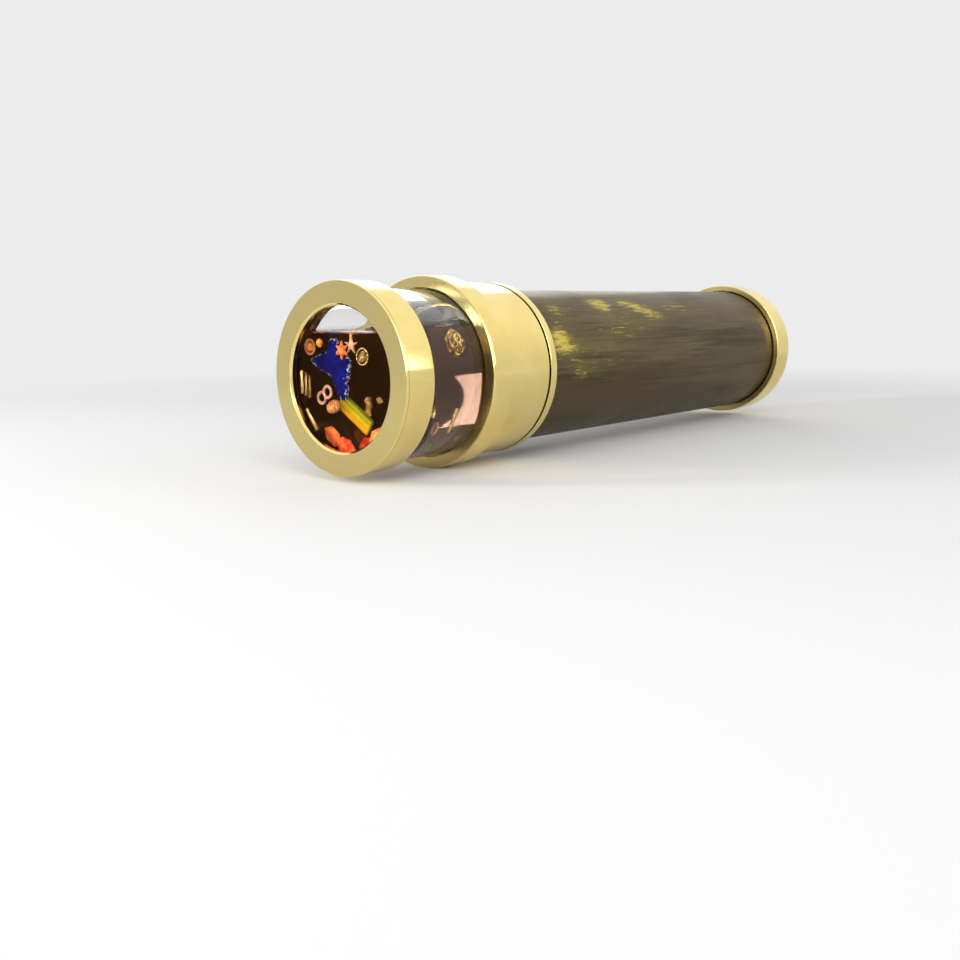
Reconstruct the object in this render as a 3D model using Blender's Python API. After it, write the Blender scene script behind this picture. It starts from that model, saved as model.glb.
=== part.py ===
"""Hand-held brass kaleidoscope with a turning object cell.

The kaleidoscope lies on its side. Its axis runs along +X, from the object cell at the low end
to the eyepiece at the high end, and the origin is under its middle, on the surface it lies on.
Sizes are in metres. Stations are distances along the axis, counted from the front face.
"""
import math

import bmesh
import bpy
from mathutils import Matrix, Vector

# Overall sizes. The tube's radius drives every other radius of the body.
LENGTH = 0.186
TUBE_RADIUS = 0.0200
TUBE_WALL = 0.0010
SIDES = 48
SEAT_GAP = 0.0003
RUN_GAP = 0.0003
CUT_OVERRUN = 0.0010

# Front bezel ring, which holds the front window
BEZEL_WALL = 0.0015
BEZEL_WIDTH = 0.0086
BEZEL_EDGE = 0.00035
BEZEL_LIP = 0.0037
APERTURE_CHAMFER = 0.0005
LIP_DEPTH = 0.0015

# Glass barrel, windows and gaskets of the object cell
BARREL_OVERSIZE = 0.0002
BARREL_WALL = 0.0020
GLASS_SHOWN = 0.0182
WINDOW_THICKNESS = 0.0021
GASKET_THICKNESS = 0.0006
GASKET_WIDTH = 0.0017
SOCKET_DEPTH = 0.0022

# Flange ring behind the barrel, with the spigot that joins it to the collar
FLANGE_WALL = 0.0029
FLANGE_WIDTH = 0.0070
FLANGE_EDGE = 0.0005
SHELF_LIP = 0.0040
SPIGOT_LENGTH = 0.0022

# Collar that turns on the tube, its bearing and its seams
FERRULE_WALL = 0.0004
SLEEVE_WALL = 0.0008
SLEEVE_LENGTH = 0.0154
SLEEVE_LIP_WIDTH = 0.0020
SLEEVE_EDGE = 0.0002
WASHER_THICKNESS = 0.0008
WASHER_OVERHANG = 0.0006
RUNNING_SEAM = 0.0006
BAND_WALL = 0.0017
BAND_WIDTH = 0.0029
BAND_ROUND = 0.0009

# Eye end
EYE_RING_WALL = 0.0017
EYE_RING_WIDTH = 0.0087
EYE_RING_ROUND = 0.0008
EYE_LIP_DEPTH = 0.0015
EYE_LIP = 0.0035
EYEPIECE_THICKNESS = 0.0016
EYEPIECE_DISH = 0.0008
EYEPIECE_DISH_MARGIN = 0.0045
PEEPHOLE_RADIUS = 0.0045
LENS_INSET = 0.0100
LENS_PROFILE_SHARES = (0.35, 0.7, 1.0)
LENS_EDGE = 0.0016
LENS_BULGE = 0.0010
LENS_RING_WIDTH = 0.0012
LENS_RING_THICKNESS = 0.0012
LENS_CUP_WALL = 0.0016

# Mirror assembly
DUST_WINDOW_RECESS = 0.0006
DUST_WINDOW_THICKNESS = 0.0016
END_PLATE_THICKNESS = 0.0012
MIRROR_THICKNESS = 0.0020
PAD_END_MARGIN = 0.0060
PAD_HALF_ANGLE = math.radians(32)
PAD_ARC_STEPS = 6

# Charms in the cell
CHARM_BEVEL = 0.0002
BLUE_CHIP_REACH = 0.0084
BLUE_CHIP_THICKNESS = 0.0020
CORAL_STAR_REACH = 0.0024
CORAL_STAR_THICKNESS = 0.0017
CORAL_WAIST_SHARE = 0.48
SPIKED_STAR_REACH = 0.0039
SPIKED_STAR_THICKNESS = 0.0012
SPIKED_WAIST_SHARE = 0.26
SPIKED_SHORT_SHARE = 0.62
AMBER_RING_RADIUS = 0.0019
AMBER_RING_WIRE = 0.0004
AMBER_SEED_RADIUS = 0.0011
FILIGREE_RING_RADIUS = 0.0021
FILIGREE_RING_WIRE = 0.00035
OPENWORK_WIRE = 0.0005
CLUSTER_RADIUS = 0.0033
CLEAR_RING_RADIUS = 0.0015
CLEAR_RING_WIRE = 0.00045
SHELL_LENGTH = 0.0050
SHELL_RADIUS = 0.0017
ROD_LENGTH = 0.0114
ROD_FLUTE_RADIUS = 0.0008
ROD_FLUTES = 3
BAR_RADIUS = 0.0008
BAR_WALL = 0.00025
BAR_LENGTH = 0.0058
BAR_COUNT = 3
LONG_BAR_LENGTH = 0.0064
SHARD_REACH = 0.0038
SHARD_THICKNESS = 0.0016
GREEN_CHIP_REACH = 0.0026
GREEN_CHIP_THICKNESS = 0.0018
NUGGET_RADIUS = 0.00105
DROP_LENGTH = 0.0036
DROP_RADIUS = 0.0009
FLAKE_REACH = 0.0013
FLAKE_THICKNESS = 0.0005
LAYER_SPLIT_SHARE = 0.52

# Outlines of the flat charms as (y, z) shares of their reach
BLUE_CHIP_SHARES = (
    (0.16, 0.62), (0.12, 0.83), (-0.06, 0.91), (-0.25, 0.90), (-0.31, 0.74), (-0.25, 0.56),
    (-0.38, 0.42), (-0.64, 0.42), (-0.86, 0.30), (-0.82, 0.0), (-0.71, -0.30), (-0.70, -0.60),
    (-0.57, -0.79), (-0.38, -0.78), (-0.20, -0.56), (-0.04, -0.26), (0.18, -0.10), (0.50, 0.0),
    (0.82, 0.14), (0.95, 0.31), (0.50, 0.46),
)
SHARD_SHARES = (
    (-0.95, -0.18), (-0.30, -0.62), (0.55, -0.50), (0.97, 0.05), (0.35, 0.52), (-0.45, 0.38),
)
GREEN_CHIP_SHARES = (
    (-0.85, -0.45), (0.10, -0.80), (0.90, -0.35), (0.72, 0.55), (-0.15, 0.90), (-0.75, 0.40),
)
FLAKE_SHARES = ((-0.9, -0.2), (0.1, -0.7), (0.9, 0.1), (0.3, 0.7), (-0.4, 0.5))

# Profiles of the turned charms as (length, radius) shares, and the nuggets' places in radii
SHELL_SHARES = (
    (-0.50, 0.0), (-0.46, 0.35), (-0.34, 0.72), (-0.20, 0.62), (-0.06, 1.0),
    (0.10, 0.82), (0.24, 0.94), (0.38, 0.60), (0.47, 0.36), (0.50, 0.0),
)
DROP_SHARES = (
    (-0.50, 0.0), (-0.44, 0.55), (-0.28, 0.95), (-0.10, 1.0), (0.12, 0.70), (0.34, 0.30), (0.50, 0.0),
)
NUGGET_SHARES = ((0.0, 0.25, 1.25), (0.20, -0.20, 0.0), (0.0, 0.30, -1.25))

# Where each charm lies: its layer, the share of the layer's depth, the share of the way out from
# the axis to where it rests on the barrel's wall, then its clock angle, yaw and roll in degrees
CHARM_PLACE_SHARES = {
    "blue_chip": ("front", 0.19, 0.80, 9.7, -6, 0),
    "coral_star": ("front", 0.0, 0.43, 70, 0, 0),
    "spiked_star": ("front", 0.0, 0.53, 89, 0, 0),
    "amber_bead": ("front", 0.06, 1.0, 26, 0, 0),
    "amber_seed_bead": ("front", 0.0, 0.76, 38, 0, 0),
    "filigree_bead": ("front", 0.0, 0.42, 130, 0, 0),
    "gold_bar_1": ("front", 0.0, 1.0, -5, 0, 0),
    "gold_bar_2": ("front", 0.0, 1.0, -7, 0, 0),
    "gold_bar_3": ("front", 0.0, 1.0, -9, 0, 0),
    "long_gold_bar": ("front", 0.0, 1.0, -37.5, 0, -37.5),
    "clear_ring_1": ("front", 0.05, 0.73, -25.4, 0, 0),
    "clear_ring_2": ("front", 0.05, 0.53, -24, 0, 0),
    "clear_ring_3": ("front", 0.94, 1.0, -139.5, 0, 0),
    "spiral_shell": ("front", 0.17, 0.66, -44, 0, -20),
    "fluted_rod": ("front", 0.29, 1.0, -82, 0, 32),
    "red_shard_1": ("front", 0.22, 1.0, -62, 0, 24),
    "red_shard_2": ("front", 0.04, 1.0, -83, 0, 4),
    "red_shard_3": ("front", 0.29, 1.0, -105, 0, -16),
    "red_shard_4": ("front", 0.02, 1.0, -126, 0, -32),
    "gold_nuggets": ("front", 0.24, 0.50, -126, 0, 0),
    "gold_flake_1": ("front", 0.26, 0.56, -150, 35, 0),
    "gold_drop": ("front", 0.72, 1.0, -155.5, 0, 8),
    "openwork_ball": ("rear", 0.16, 1.0, 153, 0, 0),
    "rear_gold_bar": ("rear", 0.24, 1.0, -146, 0, 24),
    "green_chip": ("rear", 0.02, 1.0, -117, 0, 0),
    "amber_chip": ("rear", 0.30, 1.0, -66, 0, 24),
    "red_shard_5": ("rear", 0.52, 1.0, -92, 0, -4),
    "gold_flake_2": ("rear", 0.74, 1.0, -127, 30, 0),
    "gold_flake_3": ("rear", 0.52, 1.0, -140, -40, 0),
}

# Stations along the cell, from the front face
window_front = LIP_DEPTH + SEAT_GAP
window_back = window_front + WINDOW_THICKNESS
gasket_front = window_back + SEAT_GAP
barrel_front = gasket_front + GASKET_THICKNESS + SEAT_GAP
flange_front = BEZEL_WIDTH + GLASS_SHOWN
barrel_back = flange_front + SOCKET_DEPTH
rear_gasket_front = barrel_back + SEAT_GAP
rear_window_front = rear_gasket_front + GASKET_THICKNESS + SEAT_GAP
rear_window_back = rear_window_front + WINDOW_THICKNESS
shelf_front = rear_window_back + SEAT_GAP
flange_back = flange_front + FLANGE_WIDTH
spigot_back = flange_back + SPIGOT_LENGTH

# Stations along the collar and the front of the tube
sleeve_front = flange_back + SEAT_GAP
sleeve_back = sleeve_front + SLEEVE_LENGTH
sleeve_lip_front = sleeve_back - SLEEVE_LIP_WIDTH
band_front = sleeve_back + RUNNING_SEAM
washer_front = spigot_back + RUN_GAP
tube_front = washer_front + WASHER_THICKNESS + SEAT_GAP
ferrule_back = sleeve_lip_front - RUN_GAP

# Stations at the eye end
eye_ring_front = LENGTH - EYE_RING_WIDTH
eyepiece_back = LENGTH - EYE_LIP_DEPTH - SEAT_GAP
eyepiece_front = eyepiece_back - EYEPIECE_THICKNESS
tube_back = eyepiece_front - SEAT_GAP
lens_back = eyepiece_front - SEAT_GAP
lens_front = lens_back - LENS_EDGE - LENS_BULGE
lens_ring_front = lens_back - LENS_EDGE - SEAT_GAP - LENS_RING_THICKNESS
lens_cup_front = lens_ring_front

# Stations of the mirror assembly
dust_window_front = tube_front + DUST_WINDOW_RECESS
front_plate_front = dust_window_front + DUST_WINDOW_THICKNESS + SEAT_GAP
mirror_front = front_plate_front + END_PLATE_THICKNESS + SEAT_GAP
rear_plate_front = lens_cup_front - SEAT_GAP - END_PLATE_THICKNESS
mirror_back = rear_plate_front - SEAT_GAP

# Radii that follow from the tube's radius
flat_share = math.cos(math.pi / SIDES)
tube_bore = TUBE_RADIUS - TUBE_WALL
tube_lining = tube_bore - SEAT_GAP
barrel_radius = TUBE_RADIUS + BARREL_OVERSIZE
barrel_bore = barrel_radius - BARREL_WALL
gasket_bore = barrel_radius - GASKET_WIDTH
socket_radius = barrel_radius + SEAT_GAP
bezel_radius = socket_radius + BEZEL_WALL
aperture_radius = barrel_radius - BEZEL_LIP
flange_radius = socket_radius + FLANGE_WALL
shelf_bore = barrel_radius - SHELF_LIP
ferrule_bore = TUBE_RADIUS + SEAT_GAP
ferrule_radius = ferrule_bore + FERRULE_WALL
sleeve_bore = ferrule_radius + RUN_GAP
sleeve_radius = sleeve_bore + SLEEVE_WALL
sleeve_lip_bore = TUBE_RADIUS + RUN_GAP
spigot_radius = sleeve_bore - SEAT_GAP
washer_radius = TUBE_RADIUS + WASHER_OVERHANG
ring_bore = TUBE_RADIUS + SEAT_GAP
band_radius = ring_bore + BAND_WALL
eye_ring_radius = ring_bore + EYE_RING_WALL
eye_aperture_radius = TUBE_RADIUS - EYE_LIP
dish_radius = eye_aperture_radius - EYEPIECE_DISH_MARGIN
lens_radius = tube_bore - LENS_INSET
lens_cup_bore = lens_radius + SEAT_GAP
lens_cup_radius = lens_cup_bore + LENS_CUP_WALL

# The cell's chamber, split into a front and a rear layer of charms
chamber_front = window_back + SEAT_GAP
chamber_back = rear_window_front - SEAT_GAP
chamber_radius = barrel_bore * flat_share - SEAT_GAP
layer_split = chamber_front + LAYER_SPLIT_SHARE * (chamber_back - chamber_front)
LAYERS = {
    "front": (chamber_front, layer_split),
    "rear": (layer_split + SEAT_GAP, chamber_back),
}

# Height of the axis: the widest ring touches the surface
axis_height = max(flange_radius, bezel_radius, band_radius, eye_ring_radius) * flat_share

# Numerical settings
MERGE_DISTANCE = 0.00001
EDGE_ANGLE = math.radians(32)

# Colour, roughness, metallic and transmission of each finish
FINISHES = {
    "polished_brass": ((0.86, 0.70, 0.36), 0.16, 1.0, 0.0),
    "patinated_brass": ((0.13, 0.11, 0.07), 0.38, 0.7, 0.0),
    "clear_glass": ((0.93, 0.95, 0.94), 0.03, 0.0, 1.0),
    "mirror_glass": ((0.80, 0.82, 0.84), 0.04, 1.0, 0.0),
    "black_rubber": ((0.03, 0.03, 0.03), 0.60, 0.0, 0.0),
    "bearing_felt": ((0.20, 0.18, 0.15), 0.90, 0.0, 0.0),
    "grey_foam": ((0.30, 0.30, 0.31), 0.95, 0.0, 0.0),
    "black_card": ((0.04, 0.04, 0.04), 0.80, 0.0, 0.0),
    "gold_charm": ((0.90, 0.66, 0.25), 0.22, 1.0, 0.0),
    "blue_glass": ((0.02, 0.04, 0.42), 0.12, 0.0, 0.3),
    "coral_glass": ((0.85, 0.16, 0.05), 0.30, 0.0, 0.1),
    "blush_glass": ((0.80, 0.45, 0.36), 0.25, 0.0, 0.2),
    "amber_glass": ((0.80, 0.30, 0.04), 0.12, 0.0, 0.5),
    "striped_glass": ((0.92, 0.52, 0.05), 0.12, 0.0, 0.3),
    "red_glass": ((0.72, 0.07, 0.03), 0.12, 0.0, 0.4),
    "green_glass": ((0.16, 0.42, 0.05), 0.14, 0.0, 0.4),
}


def clear_scene():
    """Remove every object that the scene starts with."""
    for obj in list(bpy.data.objects):
        bpy.data.objects.remove(obj, do_unlink=True)


def make_finish(name):
    """Return the Principled material of the named finish, made once."""
    if name in bpy.data.materials:
        return bpy.data.materials[name]
    colour, roughness, metallic, transmission = FINISHES[name]
    material = bpy.data.materials.new(name)
    material.use_nodes = True
    shader = material.node_tree.nodes["Principled BSDF"]
    shader.inputs["Base Color"].default_value = (*colour, 1.0)
    shader.inputs["Roughness"].default_value = roughness
    shader.inputs["Metallic"].default_value = metallic
    shader.inputs["Transmission Weight"].default_value = transmission
    material.diffuse_color = (*colour, 1.0)
    return material


def on_axis(station):
    """Return the placement of a turned piece whose front is at a station."""
    return Matrix.Translation((station - LENGTH / 2, 0.0, axis_height))


def make_empty(name, station, parent=None):
    """Return an empty on the kaleidoscope's axis at a station."""
    empty = bpy.data.objects.new(name, None)
    bpy.context.scene.collection.objects.link(empty)
    empty.matrix_world = on_axis(station)
    if parent is not None:
        hang_on(empty, parent)
    return empty


def hang_on(obj, parent):
    """Parent an object and keep its place in the world."""
    bpy.context.view_layer.update()
    obj.parent = parent
    obj.matrix_parent_inverse = parent.matrix_world.inverted()


def add_object(bm, name, finish, parent, matrix, smooth=True):
    """Turn a bmesh into a named object with its finish, placed by a matrix."""
    bmesh.ops.remove_doubles(bm, verts=bm.verts, dist=MERGE_DISTANCE)
    bmesh.ops.recalc_face_normals(bm, faces=bm.faces)
    mesh = bpy.data.meshes.new(name)
    bm.to_mesh(mesh)
    bm.free()
    if smooth:
        mesh.shade_smooth()
        mesh.set_sharp_from_angle(angle=EDGE_ANGLE)
    mesh.materials.append(make_finish(finish))
    obj = bpy.data.objects.new(name, mesh)
    bpy.context.scene.collection.objects.link(obj)
    obj.matrix_world = matrix
    hang_on(obj, parent)
    return obj


def spin_profile(profile, sides=SIDES):
    """Return a bmesh of a profile of (depth, radius) points, spun about +X.

    A profile that starts and ends on the axis gives a solid piece, and any other is closed to
    a ring. The lowest facet lies flat.
    """
    bm = bmesh.new()
    start = math.pi / sides
    verts = [bm.verts.new((x, r * math.sin(start), -r * math.cos(start))) for x, r in profile]
    edges = [bm.edges.new(pair) for pair in zip(verts, verts[1:])]
    if profile[0][1] > 0.0:
        edges.append(bm.edges.new((verts[-1], verts[0])))
    bmesh.ops.spin(bm, geom=verts + edges, cent=(0.0, 0.0, 0.0), axis=(1.0, 0.0, 0.0),
                   angle=2.0 * math.pi, steps=sides, use_merge=False)
    return bm


def rounded_corner(depth, radius, size, depth_sign, steps=3):
    """Return the points of an outer corner rounded by a quarter circle.

    depth_sign is -1 at the front of a piece, where the points climb to the outside, and +1 at
    its back, where they fall back to the face.
    """
    points = []
    for step in range(steps + 1):
        turn = math.radians(90) * step / steps
        along, out = math.sin(turn), math.cos(turn)
        if depth_sign < 0:
            along, out = out, along
        points.append((depth + depth_sign * size * (along - 1.0), radius + size * (out - 1.0)))
    return points


def turned(name, profile, finish, station, parent):
    """Make a turned piece from its profile and put its front at a station."""
    return add_object(spin_profile(profile), name, finish, parent, on_axis(station))


def plain_ring(name, thickness, bore, radius, finish, station, parent):
    """Make a plain flat ring or a plain tube."""
    profile = [(0.0, radius), (thickness, radius), (thickness, bore), (0.0, bore)]
    return turned(name, profile, finish, station, parent)


def plain_disc(name, thickness, radius, finish, station, parent):
    """Make a plain round disc."""
    profile = [(0.0, 0.0), (0.0, radius), (thickness, radius), (thickness, 0.0)]
    return turned(name, profile, finish, station, parent)


def prism(outline, thickness):
    """Return a bmesh of an outline of (y, z) points, extruded evenly about x = 0."""
    bm = bmesh.new()
    verts = [bm.verts.new((-thickness / 2, y, z)) for y, z in outline]
    face = bm.faces.new(verts)
    extruded = bmesh.ops.extrude_face_region(bm, geom=[face])
    moved = [item for item in extruded["geom"] if isinstance(item, bmesh.types.BMVert)]
    bmesh.ops.translate(bm, verts=moved, vec=(thickness, 0.0, 0.0))
    return bm


def add_bevel(obj, width, segments=1):
    """Soften an object's edges with a live bevel."""
    bevel = obj.modifiers.new("softened_edges", "BEVEL")
    bevel.width = width
    bevel.segments = segments
    bevel.limit_method = "ANGLE"
    bevel.angle_limit = EDGE_ANGLE


# Object cell


def make_bezel(parent):
    """Make the front bezel ring, with its lip in front and the barrel's socket behind."""
    profile = [
        (APERTURE_CHAMFER, aperture_radius),
        (0.0, aperture_radius + APERTURE_CHAMFER),
        (0.0, bezel_radius - BEZEL_EDGE),
        (BEZEL_EDGE, bezel_radius),
        (BEZEL_WIDTH - BEZEL_EDGE, bezel_radius),
        (BEZEL_WIDTH, bezel_radius - BEZEL_EDGE),
        (BEZEL_WIDTH, socket_radius),
        (LIP_DEPTH, socket_radius),
        (LIP_DEPTH, aperture_radius),
    ]
    turned("front_bezel_ring", profile, "polished_brass", 0.0, parent)


def make_flange(parent):
    """Make the flange ring: the barrel's socket, the window's shelf and the collar's spigot."""
    rear_edge = FLANGE_WIDTH - FLANGE_EDGE
    shelf = shelf_front - flange_front
    spigot = spigot_back - flange_front
    profile = [
        (0.0, socket_radius),
        (0.0, flange_radius - FLANGE_EDGE),
        (FLANGE_EDGE, flange_radius),
        (rear_edge, flange_radius),
        (FLANGE_WIDTH, flange_radius - FLANGE_EDGE),
        (FLANGE_WIDTH, spigot_radius),
        (spigot, spigot_radius),
        (spigot, shelf_bore),
        (shelf, shelf_bore),
        (shelf, socket_radius),
    ]
    turned("flange_ring", profile, "polished_brass", flange_front, parent)


def make_sleeve(parent):
    """Make the collar sleeve, whose rear lip runs on the tube behind the ferrule."""
    lip = SLEEVE_LENGTH - SLEEVE_LIP_WIDTH
    profile = [
        (0.0, sleeve_bore),
        (0.0, sleeve_radius - SLEEVE_EDGE),
        (SLEEVE_EDGE, sleeve_radius),
        (SLEEVE_LENGTH - SLEEVE_EDGE, sleeve_radius),
        (SLEEVE_LENGTH, sleeve_radius - SLEEVE_EDGE),
        (SLEEVE_LENGTH, sleeve_lip_bore),
        (lip, sleeve_lip_bore),
        (lip, sleeve_bore),
    ]
    turned("collar_sleeve", profile, "polished_brass", sleeve_front, parent)


def make_cell(parent):
    """Make the pieces of the object cell that turn with the collar."""
    make_bezel(parent)
    plain_disc("front_window", WINDOW_THICKNESS, barrel_radius, "clear_glass", window_front, parent)
    plain_ring("front_gasket", GASKET_THICKNESS, gasket_bore, barrel_radius, "black_rubber",
               gasket_front, parent)
    plain_ring("cell_barrel", barrel_back - barrel_front, barrel_bore, barrel_radius,
               "clear_glass", barrel_front, parent)
    plain_ring("rear_gasket", GASKET_THICKNESS, gasket_bore, barrel_radius, "black_rubber",
               rear_gasket_front, parent)
    plain_disc("rear_cell_window", WINDOW_THICKNESS, barrel_radius, "clear_glass",
               rear_window_front, parent)
    make_flange(parent)
    make_sleeve(parent)


# Tube, bearing and eye end


def make_rear_band(parent):
    """Make the fixed band that the collar runs against, rounded towards the tube."""
    profile = [(0.0, ring_bore), (0.0, band_radius)]
    profile += rounded_corner(BAND_WIDTH, band_radius, BAND_ROUND, 1)
    profile += [(BAND_WIDTH, ring_bore)]
    turned("rear_band", profile, "polished_brass", band_front, parent)


def make_eye_ring(parent):
    """Make the eye-end ring: a cap over the tube's end with a lip behind the eyepiece."""
    lip_front = EYE_RING_WIDTH - EYE_LIP_DEPTH
    profile = [(0.0, ring_bore)]
    profile += rounded_corner(0.0, eye_ring_radius, EYE_RING_ROUND, -1)
    profile += rounded_corner(EYE_RING_WIDTH, eye_ring_radius, EYE_RING_ROUND, 1)
    profile += [
        (EYE_RING_WIDTH, eye_aperture_radius + APERTURE_CHAMFER),
        (EYE_RING_WIDTH - APERTURE_CHAMFER, eye_aperture_radius),
        (lip_front, eye_aperture_radius),
        (lip_front, ring_bore),
    ]
    turned("eye_end_ring", profile, "polished_brass", eye_ring_front, parent)


def make_eyepiece(parent):
    """Make the dished eyepiece disc with its peephole and the lens cup on its inner side."""
    cup_front = lens_cup_front - eyepiece_front
    profile = [
        (cup_front, lens_cup_bore),
        (cup_front, lens_cup_radius),
        (0.0, lens_cup_radius),
        (0.0, TUBE_RADIUS),
        (EYEPIECE_THICKNESS, TUBE_RADIUS),
        (EYEPIECE_THICKNESS, dish_radius),
        (EYEPIECE_THICKNESS - EYEPIECE_DISH, PEEPHOLE_RADIUS),
        (0.0, PEEPHOLE_RADIUS),
        (0.0, lens_cup_bore),
    ]
    turned("eyepiece_disc", profile, "polished_brass", eyepiece_front, parent)


def make_eye_lens(parent):
    """Make the eye lens, flat behind and bulging towards the mirrors."""
    profile = [(0.0, 0.0)]
    for share in LENS_PROFILE_SHARES:
        profile.append((LENS_BULGE * share * share, lens_radius * share))
    back = LENS_BULGE + LENS_EDGE
    profile += [(back, lens_radius), (back, 0.0)]
    turned("eye_lens", profile, "clear_glass", lens_front, parent)


def make_tube_side(parent):
    """Make the tube and what is fixed on it or clamped at its eye end."""
    plain_ring("friction_washer", WASHER_THICKNESS, tube_bore, washer_radius, "bearing_felt",
               washer_front, parent)
    plain_ring("main_tube", tube_back - tube_front, tube_bore, TUBE_RADIUS, "patinated_brass",
               tube_front, parent)
    plain_ring("bearing_ferrule", ferrule_back - tube_front, ferrule_bore, ferrule_radius,
               "polished_brass", tube_front, parent)
    make_rear_band(parent)
    make_eye_ring(parent)
    make_eyepiece(parent)
    make_eye_lens(parent)
    plain_ring("lens_retaining_ring", LENS_RING_THICKNESS, lens_radius - LENS_RING_WIDTH,
               lens_radius, "polished_brass", lens_ring_front, parent)


# Mirror assembly


def mirror_inradius():
    """Return the distance from the axis to the mirrors' faces.

    The outer corner of a mirror, at (inradius + thickness, root 3 x inradius - gap), lies on
    the circle that just clears the tube. This is the positive root of that quadratic.
    """
    limit = tube_bore * flat_share - SEAT_GAP
    root3 = math.sqrt(3.0)
    linear = 2.0 * (MIRROR_THICKNESS - root3 * SEAT_GAP)
    constant = MIRROR_THICKNESS ** 2 + SEAT_GAP ** 2 - limit ** 2
    return (-linear + math.sqrt(linear ** 2 - 16.0 * constant)) / 8.0


def triangle_outline(inradius):
    """Return an upright triangle of (y, z) points with one side at the bottom."""
    corners = (math.radians(90), math.radians(210), math.radians(330))
    return [(2.0 * inradius * math.cos(a), 2.0 * inradius * math.sin(a)) for a in corners]


def make_end_plate(name, station, inradius, parent):
    """Make a round end plate with the mirrors' triangle cut through it."""
    plate = plain_disc(name, END_PLATE_THICKNESS, tube_lining, "black_card", station, parent)
    cutter_thickness = END_PLATE_THICKNESS + 2.0 * CUT_OVERRUN
    cutter = add_object(prism(triangle_outline(inradius), cutter_thickness), name + "_cutter",
                        "black_card", parent, on_axis(station + END_PLATE_THICKNESS / 2))
    cutter.hide_render = True
    cutter.display_type = "WIRE"
    cut = plate.modifiers.new("triangle", "BOOLEAN")
    cut.object = cutter
    cut.operation = "DIFFERENCE"
    cut.solver = "EXACT"


def make_mirror(name, turn, inradius, parent):
    """Make one long mirror, its bright face towards the axis, turned about it."""
    half_width = math.sqrt(3.0) * inradius - SEAT_GAP
    outline = [
        (-half_width, -inradius),
        (half_width, -inradius),
        (half_width, -inradius - MIRROR_THICKNESS),
        (-half_width, -inradius - MIRROR_THICKNESS),
    ]
    middle = on_axis((mirror_front + mirror_back) / 2) @ Matrix.Rotation(turn, 4, "X")
    add_object(prism(outline, mirror_back - mirror_front), name, "mirror_glass", parent, middle)


def make_pad(name, turn, inradius, parent):
    """Make one foam pad between a mirror's back and the tube's wall."""
    arc_radius = tube_lining * flat_share
    back = inradius + MIRROR_THICKNESS + SEAT_GAP
    outline = []
    for step in range(PAD_ARC_STEPS + 1):
        angle = -PAD_HALF_ANGLE + 2.0 * PAD_HALF_ANGLE * step / PAD_ARC_STEPS
        outline.append((arc_radius * math.sin(angle), -arc_radius * math.cos(angle)))
    half_width = arc_radius * math.sin(PAD_HALF_ANGLE)
    outline += [(half_width, -back), (-half_width, -back)]
    middle = on_axis((mirror_front + mirror_back) / 2) @ Matrix.Rotation(turn, 4, "X")
    length = mirror_back - mirror_front - 2.0 * PAD_END_MARGIN
    add_object(prism(outline, length), name, "grey_foam", parent, middle)


def make_mirrors(parent):
    """Make the window, plates, three mirrors and three pads inside the tube."""
    inradius = mirror_inradius()
    plain_disc("dust_window", DUST_WINDOW_THICKNESS, tube_lining, "clear_glass",
               dust_window_front, parent)
    make_end_plate("mirror_front_plate", front_plate_front, inradius, parent)
    make_end_plate("mirror_rear_plate", rear_plate_front, inradius, parent)
    for side, degrees in (("lower", 0), ("left", 120), ("right", 240)):
        make_mirror(side + "_mirror", math.radians(degrees), inradius, parent)
        make_pad(side + "_mirror_pad", math.radians(degrees), inradius, parent)


# Charms


def wall_distance(silhouette, clock, roll):
    """Return how far out from the axis a charm may sit before it meets the barrel's wall.

    silhouette is a radius, or a list of (y, z) points before the roll. A point v of a charm
    that sits at distance d in direction u meets a wall of radius R at
    d = -u.v + sqrt(R^2 - |v|^2 + (u.v)^2), and the least such distance holds.
    """
    if isinstance(silhouette, float):
        return chamber_radius - silhouette
    distances = []
    for y, z in silhouette:
        size = math.hypot(y, z)
        along = size * math.cos(math.atan2(z, y) + roll - clock)
        distances.append(math.sqrt(chamber_radius ** 2 - size ** 2 + along ** 2) - along)
    return min(distances)


def in_chamber(name, silhouette, half_depth, behind=0.0, lift=0.0):
    """Return the placement of a named charm inside the cell, as CHARM_PLACE_SHARES says.

    The clock angle counts from +Y towards +Z. The charm is rolled about X, then yawed about Z.
    It stands back by a further length where it lies behind another charm, and inwards from
    the wall by the lift.
    """
    layer, depth_share, out_share, clock, yaw, roll = CHARM_PLACE_SHARES[name]
    front, back = LAYERS[layer]
    station = front + half_depth + depth_share * (back - front - 2.0 * half_depth) + behind
    angle = math.radians(clock)
    distance = out_share * wall_distance(silhouette, angle, math.radians(roll)) - lift
    offset = Vector((0.0, distance * math.cos(angle), distance * math.sin(angle)))
    turns = Matrix.Rotation(math.radians(yaw), 4, "Z") @ Matrix.Rotation(math.radians(roll), 4, "X")
    return on_axis(station) @ Matrix.Translation(offset) @ turns


def scaled(shares, reach):
    """Return an outline from its shares of a reach."""
    return [(y * reach, z * reach) for y, z in shares]


def upright_box(half_width, half_height):
    """Return the (y, z) corners of an upright piece, as its silhouette."""
    return [(y, z) for y in (-half_width, half_width) for z in (-half_height, half_height)]


def star_outline(points, reach, waist_share, short_share=1.0):
    """Return a star's (y, z) outline, whose first point may be longer than the others."""
    outline = []
    for index in range(2 * points):
        angle = math.pi / 2 + math.pi * index / points
        share = waist_share if index % 2 else short_share if index else 1.0
        outline.append((reach * share * math.cos(angle), reach * share * math.sin(angle)))
    return outline


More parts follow.
